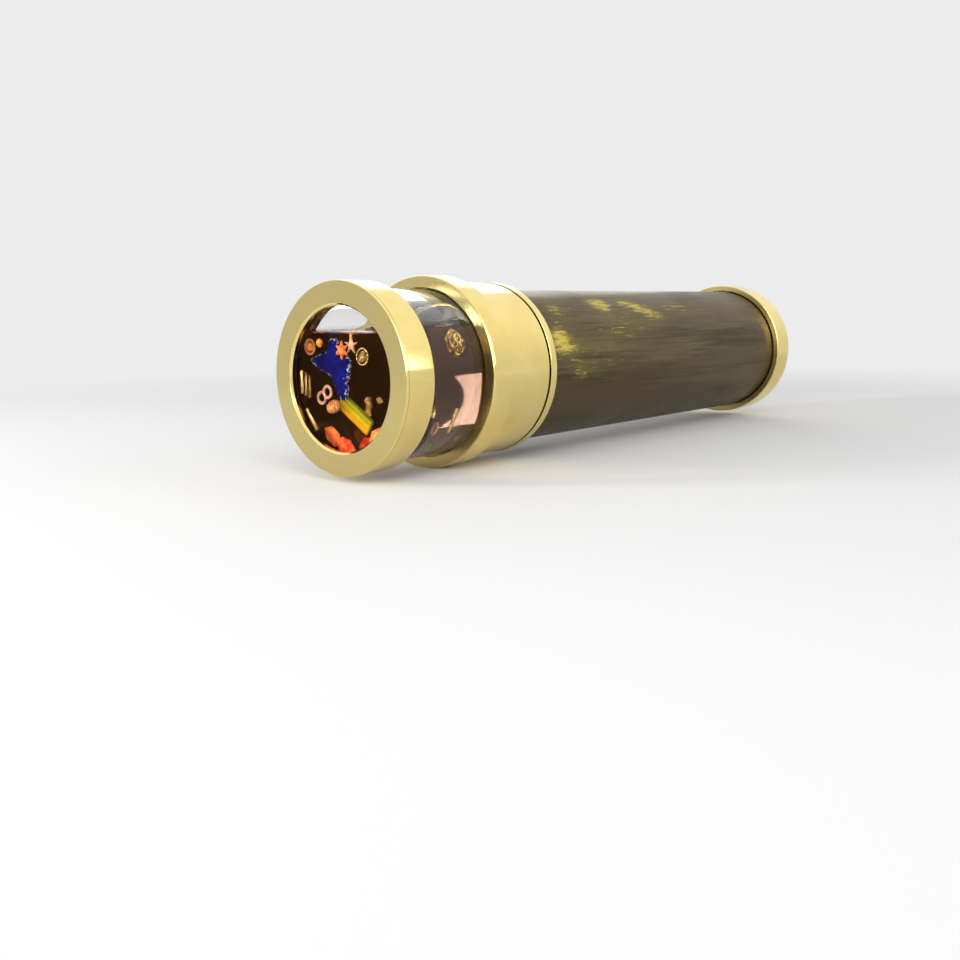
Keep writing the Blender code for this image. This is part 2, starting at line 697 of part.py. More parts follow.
def ring_mesh(major, wire, around=14, across=6):
    """Return a bmesh of a wire ring that lies in the plane x = 0."""
    bm = bmesh.new()
    circle = []
    for step in range(across):
        angle = 2.0 * math.pi * step / across
        circle.append(bm.verts.new((wire * math.sin(angle), 0.0, major + wire * math.cos(angle))))
    edges = [bm.edges.new(pair) for pair in zip(circle, circle[1:] + circle[:1])]
    bmesh.ops.spin(bm, geom=circle + edges, cent=(0.0, 0.0, 0.0), axis=(1.0, 0.0, 0.0),
                   angle=2.0 * math.pi, steps=around, use_merge=False)
    return bm


def ball_mesh(radius, subdivisions=2):
    """Return a bmesh of a faceted ball."""
    bm = bmesh.new()
    bmesh.ops.create_icosphere(bm, subdivisions=subdivisions, radius=radius)
    return bm


def make_openwork(name, radius, parent, matrix):
    """Make an openwork gold ball, the wires of an icosahedron."""
    mesh = ball_mesh(radius, subdivisions=1)
    obj = add_object(mesh, name, "gold_charm", parent, matrix, smooth=False)
    wires = obj.modifiers.new("openwork", "WIREFRAME")
    wires.thickness = OPENWORK_WIRE
    wires.use_replace = True
    wires.use_even_offset = True


def make_tubelet(name, length, parent, behind=0.0):
    """Make a short hollow gold tube that stands along Z."""
    bore = BAR_RADIUS - BAR_WALL
    half = length / 2
    profile = [(-half, BAR_RADIUS), (half, BAR_RADIUS), (half, bore), (-half, bore)]
    bm = spin_profile(profile, sides=10)
    bmesh.ops.rotate(bm, verts=bm.verts, matrix=Matrix.Rotation(math.radians(90), 3, "Y"))
    place = in_chamber(name, upright_box(BAR_RADIUS, half), BAR_RADIUS, behind)
    add_object(bm, name, "gold_charm", parent, place)


def make_chip(name, outline, thickness, finish, parent, behind=0.0):
    """Make a flat glass or gold chip from its outline, with softened edges."""
    yaw = math.radians(CHARM_PLACE_SHARES[name][4])
    widest = max(math.hypot(y, z) for y, z in outline)
    half_depth = thickness / 2 + widest * abs(math.sin(yaw))
    place = in_chamber(name, outline, half_depth, behind)
    chip = add_object(prism(outline, thickness), name, finish, parent, place, smooth=False)
    add_bevel(chip, CHARM_BEVEL)


def make_fluted_rod(parent):
    """Make the fluted glass rod: thin canes fused side by side, lying along Y.

    It lies behind a red shard, as high above the wall as the shard is.
    """
    bm = bmesh.new()
    half = ROD_LENGTH / 2
    pitch = math.sqrt(3.0) * ROD_FLUTE_RADIUS
    outline = []
    for side in (1.0, -1.0):
        for flute in range(ROD_FLUTES):
            centre = side * pitch * ((ROD_FLUTES - 1) / 2 - flute)
            for degrees in (30, 60, 90, 120):
                angle = math.radians(degrees)
                outline.append((side * ROD_FLUTE_RADIUS * math.sin(angle),
                                centre + side * ROD_FLUTE_RADIUS * math.cos(angle)))
    verts = [bm.verts.new((x, -half, z)) for x, z in outline]
    face = bm.faces.new(verts)
    extruded = bmesh.ops.extrude_face_region(bm, geom=[face])
    moved = [item for item in extruded["geom"] if isinstance(item, bmesh.types.BMVert)]
    bmesh.ops.translate(bm, verts=moved, vec=(0.0, ROD_LENGTH, 0.0))
    rod_box = upright_box(half, ROD_FLUTES * ROD_FLUTE_RADIUS)
    shard_height = max(z for y, z in SHARD_SHARES) - min(z for y, z in SHARD_SHARES)
    place = in_chamber("fluted_rod", rod_box, ROD_FLUTE_RADIUS, SHARD_THICKNESS + SEAT_GAP,
                       shard_height * SHARD_REACH)
    add_object(bm, "fluted_rod", "striped_glass", parent, place)


def make_shell(parent):
    """Make the ribbed shell bead: a tapering turned form with whorls along Y."""
    profile = [(SHELL_LENGTH * along, SHELL_RADIUS * out) for along, out in SHELL_SHARES]
    bm = spin_profile(profile, sides=12)
    bmesh.ops.rotate(bm, verts=bm.verts, matrix=Matrix.Rotation(math.radians(90), 3, "Z"))
    shell_box = upright_box(SHELL_LENGTH / 2, SHELL_RADIUS)
    place = in_chamber("spiral_shell", shell_box, SHELL_RADIUS)
    add_object(bm, "spiral_shell", "blush_glass", parent, place)


def make_drop(parent):
    """Make the gold drop, round below and pointed above."""
    profile = [(DROP_LENGTH * along, DROP_RADIUS * out) for along, out in DROP_SHARES]
    bm = spin_profile(profile, sides=10)
    bmesh.ops.rotate(bm, verts=bm.verts, matrix=Matrix.Rotation(math.radians(-90), 3, "Y"))
    place = in_chamber("gold_drop", upright_box(DROP_RADIUS, DROP_LENGTH / 2), DROP_RADIUS)
    add_object(bm, "gold_drop", "gold_charm", parent, place)


def make_nuggets(parent):
    """Make the gold nugget cluster: three balls fused in a crooked row."""
    spans = [max(abs(shares[axis]) for shares in NUGGET_SHARES) + 1.0 for axis in range(3)]
    half_depth, half_width, half_height = [span * NUGGET_RADIUS for span in spans]
    place = in_chamber("gold_nuggets", upright_box(half_width, half_height), half_depth)
    base = None
    for index, shares in enumerate(NUGGET_SHARES):
        offset = Matrix.Translation(Vector(shares) * NUGGET_RADIUS)
        name = "gold_nuggets" if base is None else "gold_nuggets_cutter_" + str(index)
        ball = add_object(ball_mesh(NUGGET_RADIUS), name, "gold_charm", parent, place @ offset)
        if base is None:
            base = ball
            continue
        ball.hide_render = True
        ball.display_type = "WIRE"
        union = base.modifiers.new("fused", "BOOLEAN")
        union.object = ball
        union.operation = "UNION"
        union.solver = "EXACT"


def make_stars(parent):
    """Make the coral star and, behind it, the star with one long spike."""
    coral = star_outline(6, CORAL_STAR_REACH, CORAL_WAIST_SHARE)
    make_chip("coral_star", coral, CORAL_STAR_THICKNESS, "coral_glass", parent)
    spiked = star_outline(5, SPIKED_STAR_REACH, SPIKED_WAIST_SHARE, SPIKED_SHORT_SHARE)
    make_chip("spiked_star", spiked, SPIKED_STAR_THICKNESS, "blush_glass", parent,
              behind=CORAL_STAR_THICKNESS + SEAT_GAP)


def make_beads(parent):
    """Make the round beads: two with a core inside a ring, and a seed bead."""
    reach = AMBER_RING_RADIUS + AMBER_RING_WIRE
    core = AMBER_RING_RADIUS - AMBER_RING_WIRE - SEAT_GAP
    place = in_chamber("amber_bead", reach, core)
    ring = ring_mesh(AMBER_RING_RADIUS, AMBER_RING_WIRE)
    add_object(ring, "amber_bead_ring", "clear_glass", parent, place)
    add_object(ball_mesh(core), "amber_bead", "amber_glass", parent, place)
    place = in_chamber("amber_seed_bead", AMBER_SEED_RADIUS, AMBER_SEED_RADIUS)
    add_object(ball_mesh(AMBER_SEED_RADIUS), "amber_seed_bead", "amber_glass", parent, place)
    reach = FILIGREE_RING_RADIUS + FILIGREE_RING_WIRE
    half_depth = FILIGREE_RING_RADIUS - FILIGREE_RING_WIRE - SEAT_GAP
    place = in_chamber("filigree_bead", reach, half_depth)
    ring = ring_mesh(FILIGREE_RING_RADIUS, FILIGREE_RING_WIRE)
    add_object(ring, "filigree_bead_ring", "gold_charm", parent, place)
    make_openwork("filigree_bead", half_depth - OPENWORK_WIRE / 2, parent, place)


def make_clear_ring(name, parent, behind=0.0):
    """Make one small clear ring."""
    place = in_chamber(name, CLEAR_RING_RADIUS + CLEAR_RING_WIRE, CLEAR_RING_WIRE, behind)
    add_object(ring_mesh(CLEAR_RING_RADIUS, CLEAR_RING_WIRE), name, "clear_glass", parent, place)


def make_gold_bars(parent):
    """Make the short gold tubelets, one behind the other against the wall."""
    pitch = 2.0 * BAR_RADIUS + SEAT_GAP
    for index in range(BAR_COUNT):
        make_tubelet("gold_bar_" + str(index + 1), BAR_LENGTH, parent, behind=pitch * index)


def make_shard(name, parent):
    """Make one red shard."""
    make_chip(name, scaled(SHARD_SHARES, SHARD_REACH), SHARD_THICKNESS, "red_glass", parent)


def make_flake(name, parent):
    """Make one thin gold flake."""
    make_chip(name, scaled(FLAKE_SHARES, FLAKE_REACH), FLAKE_THICKNESS, "gold_charm", parent)


def make_front_charms(parent):
    """Make the charms that lie near the front window."""
    blue = scaled(BLUE_CHIP_SHARES, BLUE_CHIP_REACH)
    make_chip("blue_chip", blue, BLUE_CHIP_THICKNESS, "blue_glass", parent)
    make_stars(parent)
    make_beads(parent)
    make_clear_ring("clear_ring_1", parent, behind=2.0 * CLEAR_RING_WIRE + SEAT_GAP)
    for number in ("2", "3"):
        make_clear_ring("clear_ring_" + number, parent)
    make_gold_bars(parent)
    make_tubelet("long_gold_bar", LONG_BAR_LENGTH, parent)
    make_shell(parent)
    make_fluted_rod(parent)
    for number in ("1", "2", "3", "4"):
        make_shard("red_shard_" + number, parent)
    make_nuggets(parent)
    make_flake("gold_flake_1", parent)
    make_drop(parent)


def make_rear_charms(parent):
    """Make the charms that lie behind the front ones."""
    ball_reach = CLUSTER_RADIUS + OPENWORK_WIRE / 2
    place = in_chamber("openwork_ball", ball_reach, ball_reach)
    make_openwork("openwork_ball", CLUSTER_RADIUS, parent, place)
    make_tubelet("rear_gold_bar", LONG_BAR_LENGTH, parent)
    chip = scaled(GREEN_CHIP_SHARES, GREEN_CHIP_REACH)
    make_chip("green_chip", chip, GREEN_CHIP_THICKNESS, "green_glass", parent)
    make_chip("amber_chip", chip, GREEN_CHIP_THICKNESS, "amber_glass", parent)
    make_shard("red_shard_5", parent)
    for number in ("2", "3"):
        make_flake("gold_flake_" + number, parent)


def build():
    """Build the kaleidoscope: the tube, the turning cell on it and the charms in the cell."""
    clear_scene()
    tube_axis = make_empty("kaleidoscope", LENGTH / 2)
    cell_axis = make_empty("cell_turn_axis", band_front, tube_axis)
    front_axis = make_empty("front_charm_axis", chamber_front, cell_axis)
    rear_axis = make_empty("rear_charm_axis", layer_split, cell_axis)
    make_tube_side(tube_axis)
    make_mirrors(tube_axis)
    make_cell(cell_axis)
    make_front_charms(front_axis)
    make_rear_charms(rear_axis)


build()
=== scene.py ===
"""Looks of the hand-held brass kaleidoscope: its fine surfaces, finishes, glass, charms and studio.

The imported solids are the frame. Each visible piece is a surface worked out with numpy and placed by
the solid that it stands for. Sizes are in metres. Stations are distances along the axis, counted from
the front face of the object cell, and the axis runs along +X.
"""
from __future__ import annotations

import logging
import math
from dataclasses import dataclass, field
from enum import Enum
from typing import Sequence

import bpy
import numpy as np
from mathutils import Matrix, Vector


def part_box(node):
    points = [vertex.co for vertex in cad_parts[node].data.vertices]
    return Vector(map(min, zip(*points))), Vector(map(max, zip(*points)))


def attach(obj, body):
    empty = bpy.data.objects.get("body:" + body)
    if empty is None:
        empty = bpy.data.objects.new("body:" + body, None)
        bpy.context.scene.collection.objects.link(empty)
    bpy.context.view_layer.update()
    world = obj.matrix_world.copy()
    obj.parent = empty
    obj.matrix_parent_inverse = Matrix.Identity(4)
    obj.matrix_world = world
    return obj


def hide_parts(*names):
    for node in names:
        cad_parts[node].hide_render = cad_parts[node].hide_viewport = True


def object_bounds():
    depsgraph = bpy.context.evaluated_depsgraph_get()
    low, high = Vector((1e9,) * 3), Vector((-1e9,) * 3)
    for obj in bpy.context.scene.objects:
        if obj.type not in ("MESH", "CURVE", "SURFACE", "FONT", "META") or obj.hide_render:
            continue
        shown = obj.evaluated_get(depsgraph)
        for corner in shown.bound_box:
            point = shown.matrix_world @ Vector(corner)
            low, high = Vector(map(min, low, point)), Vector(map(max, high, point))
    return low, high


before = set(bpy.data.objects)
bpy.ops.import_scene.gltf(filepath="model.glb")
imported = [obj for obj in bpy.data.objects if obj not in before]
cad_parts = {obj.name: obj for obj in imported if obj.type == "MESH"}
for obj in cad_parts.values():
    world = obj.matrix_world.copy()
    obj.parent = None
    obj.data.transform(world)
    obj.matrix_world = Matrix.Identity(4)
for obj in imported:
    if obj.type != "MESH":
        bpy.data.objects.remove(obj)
CAD_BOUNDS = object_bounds()

log = logging.getLogger("kaleidoscope")

# The place of the axis, and the share of a ring's radius that its polygon of 48 sides reaches
FRONT_X = CAD_BOUNDS[0].x
AXIS_HEIGHT = (CAD_BOUNDS[0].z + CAD_BOUNDS[1].z) / 2
POLYGON_SIDES = 48
ROUND_SHARE = math.cos(math.pi / POLYGON_SIDES)

# How finely the surfaces are worked out
SIDES = 224
CHARM_SIDES = 72
WIRE_SIDES = 16
CORNER_STEPS = 6
GUARD_SHARE = 1.35
EDGE_ANGLE = math.radians(34)
GOLDEN_TURN = math.pi * (3.0 - math.sqrt(5.0))

EVEN = (1.0, 1.0, 1.0)
NOISE_ROUGHNESS = 0.6

Triple = tuple[float, float, float]
Colour = tuple[float, float, float]
Range = tuple[float, float]
Node = bpy.types.Node
Socket = bpy.types.NodeSocket


class Body(Enum):
    """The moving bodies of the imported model."""

    TUBE = "tube"
    CELL = "cell"
    FRONT = "front_charms"
    REAR = "rear_charms"


class Slot(Enum):
    """The record's material slots. The charm builders take one each as an argument, and nothing here
    applies it.
    """

    BRASS = "polished_brass"
    PATINA = "patinated_brass"
    GLASS = "clear_glass"
    RUBBER = "black_rubber"
    FELT = "bearing_felt"
    FOAM = "grey_foam"
    GOLD = "gold_charm"
    BLUE = "blue_glass"
    CORAL = "coral_glass"
    BLUSH = "blush_glass"
    AMBER = "amber_glass"
    STRIPED = "striped_glass"
    RED = "red_glass"
    GREEN = "green_glass"


# Surfaces


@dataclass
class Surface:
    """A closed surface: its points, blocks of faces as rows of point numbers, and values at points."""

    points: np.ndarray
    faces: list[np.ndarray]
    values: dict[str, np.ndarray] = field(default_factory=dict)

    def triangles(self) -> np.ndarray:
        """Split the faces into triangles, two for each quad.

        Returns:
            The triangles as rows of point numbers.
        """
        blocks = [block[:, [0, 1, 2]] for block in self.faces]
        blocks += [block[:, [0, 2, 3]] for block in self.faces if block.shape[1] == 4]
        return np.vstack(blocks)

    def volume(self) -> float:
        """Return the signed volume, a sixth of the sum of a . (b x c) over the triangles."""
        a, b, c = (self.points[self.triangles()[:, corner]] for corner in range(3))
        return float(np.einsum("ij,ij->", a, np.cross(b, c)) / 6.0)

    def facing_out(self) -> Surface:
        """Turn the faces to point outwards.

        Returns:
            The surface, with its faces turned over where its volume was negative.
        """
        if self.volume() > 0.0:
            return self
        return Surface(self.points, [block[:, ::-1] for block in self.faces], self.values)

    def moved(self, matrix: Matrix) -> Surface:
        """Return the surface turned and moved by a matrix."""
        turn = np.array(matrix.to_3x3())
        return Surface(self.points @ turn.T + np.array(matrix.translation), self.faces, self.values)

    def rumpled(self, wavelength: float, depth: float, phase: float = 0.0) -> Surface:
        """Return the surface with an uneven skin.

        Each point moves by depth x sin(k q) cos(1.7 k p) along each axis, where q and p are the
        point's coordinates along the two other axes and k is 2 pi over the wavelength.

        Args:
            wavelength: Distance between two swells.
            depth: Greatest move along each axis.
            phase: Shift of the waves, which tells two like pieces apart.

        Returns:
            The uneven surface.
        """
        waves = 2.0 * math.pi / wavelength
        first, second = np.roll(self.points, 1, axis=1), np.roll(self.points, 2, axis=1)
        push = np.sin(waves * first + phase) * np.cos(1.7 * waves * second - phase)
        return Surface(self.points + depth * push, self.faces, self.values)


def joined(parts: Sequence[Surface]) -> Surface:
    """Join several surfaces into one, each still closed in itself.

    Args:
        parts: The surfaces, which all carry the same values.

    Returns:
        One surface with the points, faces and values of all.
    """
    counts = np.cumsum([0] + [len(part.points) for part in parts])
    faces = [block + start for part, start in zip(parts, counts) for block in part.faces]
    names = parts[0].values
    values = {name: np.concatenate([part.values[name] for part in parts]) for name in names}
    return Surface(np.vstack([part.points for part in parts]), faces, values)


def round_angles(count: int) -> np.ndarray:
    """Return angles spread evenly once round a circle."""
    return np.linspace(0.0, 2.0 * math.pi, count, endpoint=False)


def turn_about(axis: str, degrees: float = 90.0) -> Matrix:
    """Return the turn by an angle about an axis through the origin."""
    return Matrix.Rotation(math.radians(degrees), 4, axis)


def skin(grid: np.ndarray, ends: tuple[np.ndarray, np.ndarray] | None = None) -> Surface:
    """Cover a grid of points whose columns run round a piece.

    Point (i, j) joins (i, j + 1), (i + 1, j + 1) and (i + 1, j), and the last column joins the first.
    With ends, the first and the last row close to one point each. Without ends, the last row joins
    the first, as on a ring.

    Args:
        grid: Points as (rows, columns, 3).
        ends: The two closing points, or None for a ring.

    Returns:
        The closed surface, facing out.
    """
    rows, columns = grid.shape[:2]
    index = np.arange(rows * columns).reshape(rows, columns)
    here = index if ends is None else index[:-1]
    there = np.roll(index, -1, axis=0) if ends is None else index[1:]
    quads = np.stack([here, np.roll(here, -1, 1), np.roll(there, -1, 1), there], axis=-1)
    points, faces = grid.reshape(-1, 3), [quads.reshape(-1, 4)]
    if ends is not None:
        points = np.vstack([points, ends[0], ends[1]])
        first, last = np.full(columns, rows * columns), np.full(columns, rows * columns + 1)
        faces.append(np.stack([first, np.roll(index[0], -1), index[0]], axis=-1))
        faces.append(np.stack([last, index[-1], np.roll(index[-1], -1)], axis=-1))
    return Surface(points, faces).facing_out()


def rounded(corners: Sequence[tuple[float, float, float]], ring: bool = True) -> np.ndarray:
    """Round the corners of a profile.

    Each corner C has a rounding. The curve from P, a rounding before C, to Q, a rounding after it, is
    (1 - t)^2 P + 2 t (1 - t) C + t^2 Q. One more point on each side keeps the next face flat.

    Args:
        corners: Rows of (station, radius, rounding).
        ring: False where the profile starts and ends on the axis. Those two points are left out.

    Returns:
        The profile as rows of (station, radius).
    """
    table = np.array(corners)
    spots, reach = table[:, None, :2], table[:, None, 2:]
    before, after = np.roll(spots, 1, axis=0) - spots, np.roll(spots, -1, axis=0) - spots
    before = reach * before / np.linalg.norm(before, axis=2, keepdims=True)
    after = reach * after / np.linalg.norm(after, axis=2, keepdims=True)
    t = np.linspace(0.0, 1.0, CORNER_STEPS)[None, :, None]
    curve = (1 - t) ** 2 * (spots + before) + 2 * t * (1 - t) * spots + t ** 2 * (spots + after)
    guards = spots + GUARD_SHARE * before, spots + GUARD_SHARE * after
    profile = np.concatenate([guards[0], curve, guards[1]], axis=1)
    return (profile if ring else profile[1:-1]).reshape(-1, 2)


def turned(profile: np.ndarray, ends: tuple[float, float] | None = None, sides: int = SIDES) -> Surface:
    """Turn a profile about the X axis.

    A point at station s and radius r gives the circle (s, r sin a, -r cos a), a going once round.

    Args:
        profile: Rows of (station, radius).
        ends: Stations of the two end points on the axis, or None for a ring.
        sides: Points round the circle.

    Returns:
        The turned surface.
    """
    angle = round_angles(sides)
    station, radius = profile[:, :1], profile[:, 1:]
    round_grid = (station + 0.0 * angle, radius * np.sin(angle), -radius * np.cos(angle))
    poles = None if ends is None else tuple(np.array([end, 0.0, 0.0]) for end in ends)
    return skin(np.stack(round_grid, axis=-1), poles)


def on_axis(profile: np.ndarray, ends: tuple[float, float] | None = None) -> Surface:
    """Turn a profile about the kaleidoscope's axis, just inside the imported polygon."""
    surface = turned(profile * np.array([1.0, ROUND_SHARE]), ends)
    return surface.moved(Matrix.Translation((FRONT_X, 0.0, AXIS_HEIGHT)))


def smooth_loop(corners: np.ndarray, count: int) -> np.ndarray:
    """Draw a smooth closed curve through corners.

    Between corners B and C, with A before and D after, the point at t is
    (2B + (C - A) t + (2A - 5B + 4C - D) t^2 + (3B - A - 3C + D) t^3) / 2.

    Args:
        corners: Rows of (y, z).
        count: Points of the curve.

    Returns:
        The curve as rows of (y, z).
    """
    t = np.linspace(0.0, len(corners), count, endpoint=False)
    base = t.astype(int)
    t = (t - base)[:, None]
    a, b, c, d = (corners[(base + step) % len(corners)] for step in (-1, 0, 1, 2))
    cubic = 2 * b + (c - a) * t + (2 * a - 5 * b + 4 * c - d) * t ** 2 + (3 * b - a - 3 * c + d) * t ** 3
    return cubic / 2.0


def smooth_line(marks: Sequence[Range], count: int) -> np.ndarray:
    """Draw a smooth line through marks, its rows evenly spaced in angle so that its ends stay round.

    Between two marks at t = 0 and t = 1, a width w apart, with the heights p and q and the slopes u
    and v, the height is
    (1 + 2t)(1 - t)^2 p + t (1 - t)^2 w u + t^2 (3 - 2t) q + t^2 (t - 1) w v.

    Args:
        marks: Rows of (distance along the line, height).
        count: Rows of the line.

    Returns:
        The line as rows of (distance along, height), with no height below zero.
    """
    table = np.array(marks)
    along = table[0, 0] + (table[-1, 0] - table[0, 0]) * (1 - np.cos(np.linspace(0, math.pi, count))) / 2
    slopes = np.gradient(table[:, 1], table[:, 0])
    low = np.clip(np.searchsorted(table[:, 0], along, side="right") - 1, 0, len(table) - 2)
    width = table[low + 1, 0] - table[low, 0]
    t = (along - table[low, 0]) / width
    out = ((1 + 2 * t) * (1 - t) ** 2 * table[low, 1] + t * (1 - t) ** 2 * width * slopes[low]
           + t ** 2 * (3 - 2 * t) * table[low + 1, 1] + t ** 2 * (t - 1) * width * slopes[low + 1])
    return np.stack([along, np.maximum(out, 0.0)], axis=-1)


def swollen(loop: np.ndarray, centre: np.ndarray, half_depth: float, squareness: float,
            rings: int = 24) -> Surface:
    """Swell a flat outline into a pebble, a chip or a long block with rounded ends.

    At angle a from the front pole, the outline is drawn in towards its centre to the share
    sin(a)^(2/n) and stands at the depth half_depth x cos(a)^(2/n), n being the squareness.

    Args:
        loop: Outline as rows of (y, z), seen as a star from its centre.
        centre: The point that the outline is drawn in towards.
        half_depth: Half the piece's depth along X.
        squareness: 2 for an egg, more for flatter faces and tighter edges.
        rings: Rows between the two poles.

    Returns:
        The surface, with the value rim running from 0 at the poles to 1 at the outline.
    """
    angle = np.linspace(0.0, math.pi, rings + 2)[1:-1]
    share = (np.sin(angle) ** (2.0 / squareness))[:, None, None]
    depth = -np.sign(np.cos(angle)) * np.abs(np.cos(angle)) ** (2.0 / squareness) * half_depth
    flat = centre + (loop[None] - centre) * share
    column = np.broadcast_to(depth[:, None, None], flat.shape[:2] + (1,))
    poles = (np.array([-half_depth, *centre]), np.array([half_depth, *centre]))
    surface = skin(np.concatenate([column, flat], axis=-1), poles)
    rim = np.repeat(share.ravel(), len(loop))
    surface.values["rim"] = np.concatenate([rim, [0.0, 0.0]])
    return surface


def ring(major: float, wire: float, beading: float = 0.0, beads: int = 0) -> Surface:
    """Make a wire ring in the plane x = 0.

    The point at a round the ring and b round the wire is (w sin b, (R + w cos b) sin a,
    (R + w cos b) cos a), with w = wire x (1 + beading x cos(beads x a)) / (1 + beading).

    Args:
        major: Radius of the wire's middle line, R.
        wire: Greatest radius of the wire.
        beading: Share of the wire's radius by which the beads swell and sink.
        beads: Beads round the ring.

    Returns:
        The ring.
    """
    a = round_angles(CHARM_SIDES)[:, None]
    b = round_angles(WIRE_SIDES)[None]
    thick = wire * (1.0 + beading * np.cos(beads * a)) / (1.0 + beading)
    out = major + thick * np.cos(b)
    return skin(np.stack([thick * np.sin(b), out * np.sin(a), out * np.cos(a)], axis=-1))


def ball(radius: float, sides: int = 32) -> Surface:
    """Make a ball: the profile (-R cos t, R sin t), turned."""
    t = np.linspace(0.0, math.pi, sides // 2 + 1)[1:-1]
    return turned(radius * np.stack([-np.cos(t), np.sin(t)], axis=-1), (-radius, radius), sides)


def facing(direction: np.ndarray, distance: float) -> Matrix:
    """Return the placement that turns +X to a direction and moves out along it."""
    way = Vector(direction)
    return Matrix.Translation(way * distance) @ way.to_track_quat("X", "Z").to_matrix().to_4x4()


def sphere_directions(count: int) -> np.ndarray:
    """Spread directions evenly over a sphere: z falls in equal steps, each 137.5 degrees further on.

    Args:
        count: Number of directions.

    Returns:
        The directions as rows of (x, y, z).
    """
    step = np.arange(count) + 0.5
    z = 1.0 - 2.0 * step / count
    out = np.sqrt(1.0 - z ** 2)
    return np.stack([out * np.cos(GOLDEN_TURN * step), out * np.sin(GOLDEN_TURN * step), z], axis=-1)


# Finishes


@dataclass
class Graph:
    """A node tree, with short ways to add and join its nodes."""

    tree: bpy.types.NodeTree

    def add(self, kind: str, inputs: dict | None = None, **settings: object) -> Node:
        """Add a shader node.

        Args:
            kind: The node's type without the word ShaderNode.
            inputs: Values or output sockets, by the input's name or number.
            **settings: The node's own settings.

        Returns:
            The node.
        """
        node = self.tree.nodes.new("ShaderNode" + kind)
        for name, value in settings.items():
            setattr(node, name, value)
        for name, value in (inputs or {}).items():
            if isinstance(value, Socket):
                self.tree.links.new(value, node.inputs[name])
            else:
                node.inputs[name].default_value = value
        return node

    def math(self, operation: str, *terms: object) -> Socket:
        """Return the result of a Math node on up to three terms."""
        return self.add("Math", dict(enumerate(terms)), operation=operation).outputs[0]

    def mix(self, factor: object, first: object, second: object) -> Socket:
        """Return two colours mixed by a factor."""
        inputs = {0: factor, 6: paint(first), 7: paint(second)}
        return self.add("Mix", inputs, data_type="RGBA").outputs[2]

    def blend(self, factor: object, first: object, second: object) -> Socket:
        """Return the number that runs from first to second as the factor runs from 0 to 1."""
        return self.spread(factor, 0.0, 1.0, first, second)

    def spread(self, value: object, low: float, high: float, first: float = 0.0,
               second: float = 1.0) -> Socket:
        """Return a value's place between low and high as a number from first to second."""
        inputs = {"Value": value, "From Min": low, "From Max": high, "To Min": first, "To Max": second}
        return self.add("MapRange", inputs, interpolation_type="SMOOTHSTEP").outputs[0]

    def place(self, scale: Triple = EVEN, height: float = 0.0) -> Socket:
        """Return the object's own coordinates, counted from a height and stretched along each axis."""
        inputs = {"Vector": self.own(), "Location": (0.0, 0.0, -height * scale[2]), "Scale": scale}
        return self.add("Mapping", inputs).outputs[0]

    def own(self) -> Socket:
        """Return the object's own coordinates."""
        return self.add("TexCoord").outputs["Object"]

    def noise(self, place: Socket, scale: float = 1.0, detail: float = 3.0) -> Socket:
        """Return a noise value at a place."""
        inputs = {"Vector": place, "Scale": scale, "Detail": detail, "Roughness": NOISE_ROUGHNESS}
        return self.add("TexNoise", inputs).outputs[0]

    def swayed(self, value: object, noise: Socket, weight: float) -> Socket:
        """Return a value that a noise sways by up to half a weight either way."""
        return self.math("MULTIPLY_ADD", noise, weight, self.math("SUBTRACT", value, weight / 2))

    def parts(self, vector: Socket) -> Sequence[Socket]:
        """Return the three parts of a vector."""
        return self.add("SeparateXYZ", {0: vector}).outputs

    def value(self, name: str) -> Socket:
        """Return the value of this name that the surface's points carry."""
        return self.add("Attribute", attribute_name=name).outputs["Fac"]

    def group(self, name: str, **inputs: object) -> Node:
        """Place a named effect, which is made where it is used first.

        Args:
            name: The effect's name.
            **inputs: Values or output sockets, by the names of the effect's inputs in small letters.

        Returns:
            The node that holds the effect.
        """
        if name not in bpy.data.node_groups:
            EFFECTS[name]()
        node = self.add("Group")
        node.node_tree = bpy.data.node_groups[name]
        for label, value in inputs.items():
            socket = node.inputs[label.title()]
            if isinstance(value, Socket):
                self.tree.links.new(value, socket)
            else:
                socket.default_value = value
        return node

    def smudge_value(self, scale: float, low: float, high: float) -> Socket:
        """Return the smudges' value, which runs from low to high."""
        return self.group("smudges", scale=scale, low=low, high=high).outputs[0]

    def speck_mask(self, scale: float, size: float) -> Socket:
        """Return the specks' mask."""
        return self.group("specks", scale=scale, size=size).outputs[0]

    def bump(self, height: Socket, strength: float, depth: float) -> Socket:
        """Return the normal of a surface raised by a height."""
        return self.add("Bump", {"Height": height, "Strength": strength, "Distance": depth}).outputs[0]


def paint(colour: object) -> object:
    """Return a colour with its alpha, and a socket as it is."""
    return (*colour, 1.0) if isinstance(colour, tuple) else colour


def emptied(block: bpy.types.Material | bpy.types.World) -> Graph:
    """Empty the nodes of a material or of the world.

    Args:
        block: The material or the world.

    Returns:
        Its node tree, ready for new nodes.
    """
    block.use_nodes = True
    block.node_tree.nodes.clear()
    return Graph(block.node_tree)


def new_effect(name: str, inputs: dict[str, float],
               outputs: Sequence[str]) -> tuple[Graph, Node, Node]:
    """Start a node group with float inputs and outputs.

    Args:
        name: The effect's name.
        inputs: Input names and their values where none is given.
        outputs: Output names.

    Returns:
        The group's graph, its input node and its output node.
    """
    tree = bpy.data.node_groups.new(name, "ShaderNodeTree")
    for label, value in inputs.items():
        socket = tree.interface.new_socket(label, in_out="INPUT", socket_type="NodeSocketFloat")
        socket.default_value = value
    for label in outputs:
        tree.interface.new_socket(label, in_out="OUTPUT", socket_type="NodeSocketFloat")
    return Graph(tree), tree.nodes.new("NodeGroupInput"), tree.nodes.new("NodeGroupOutput")


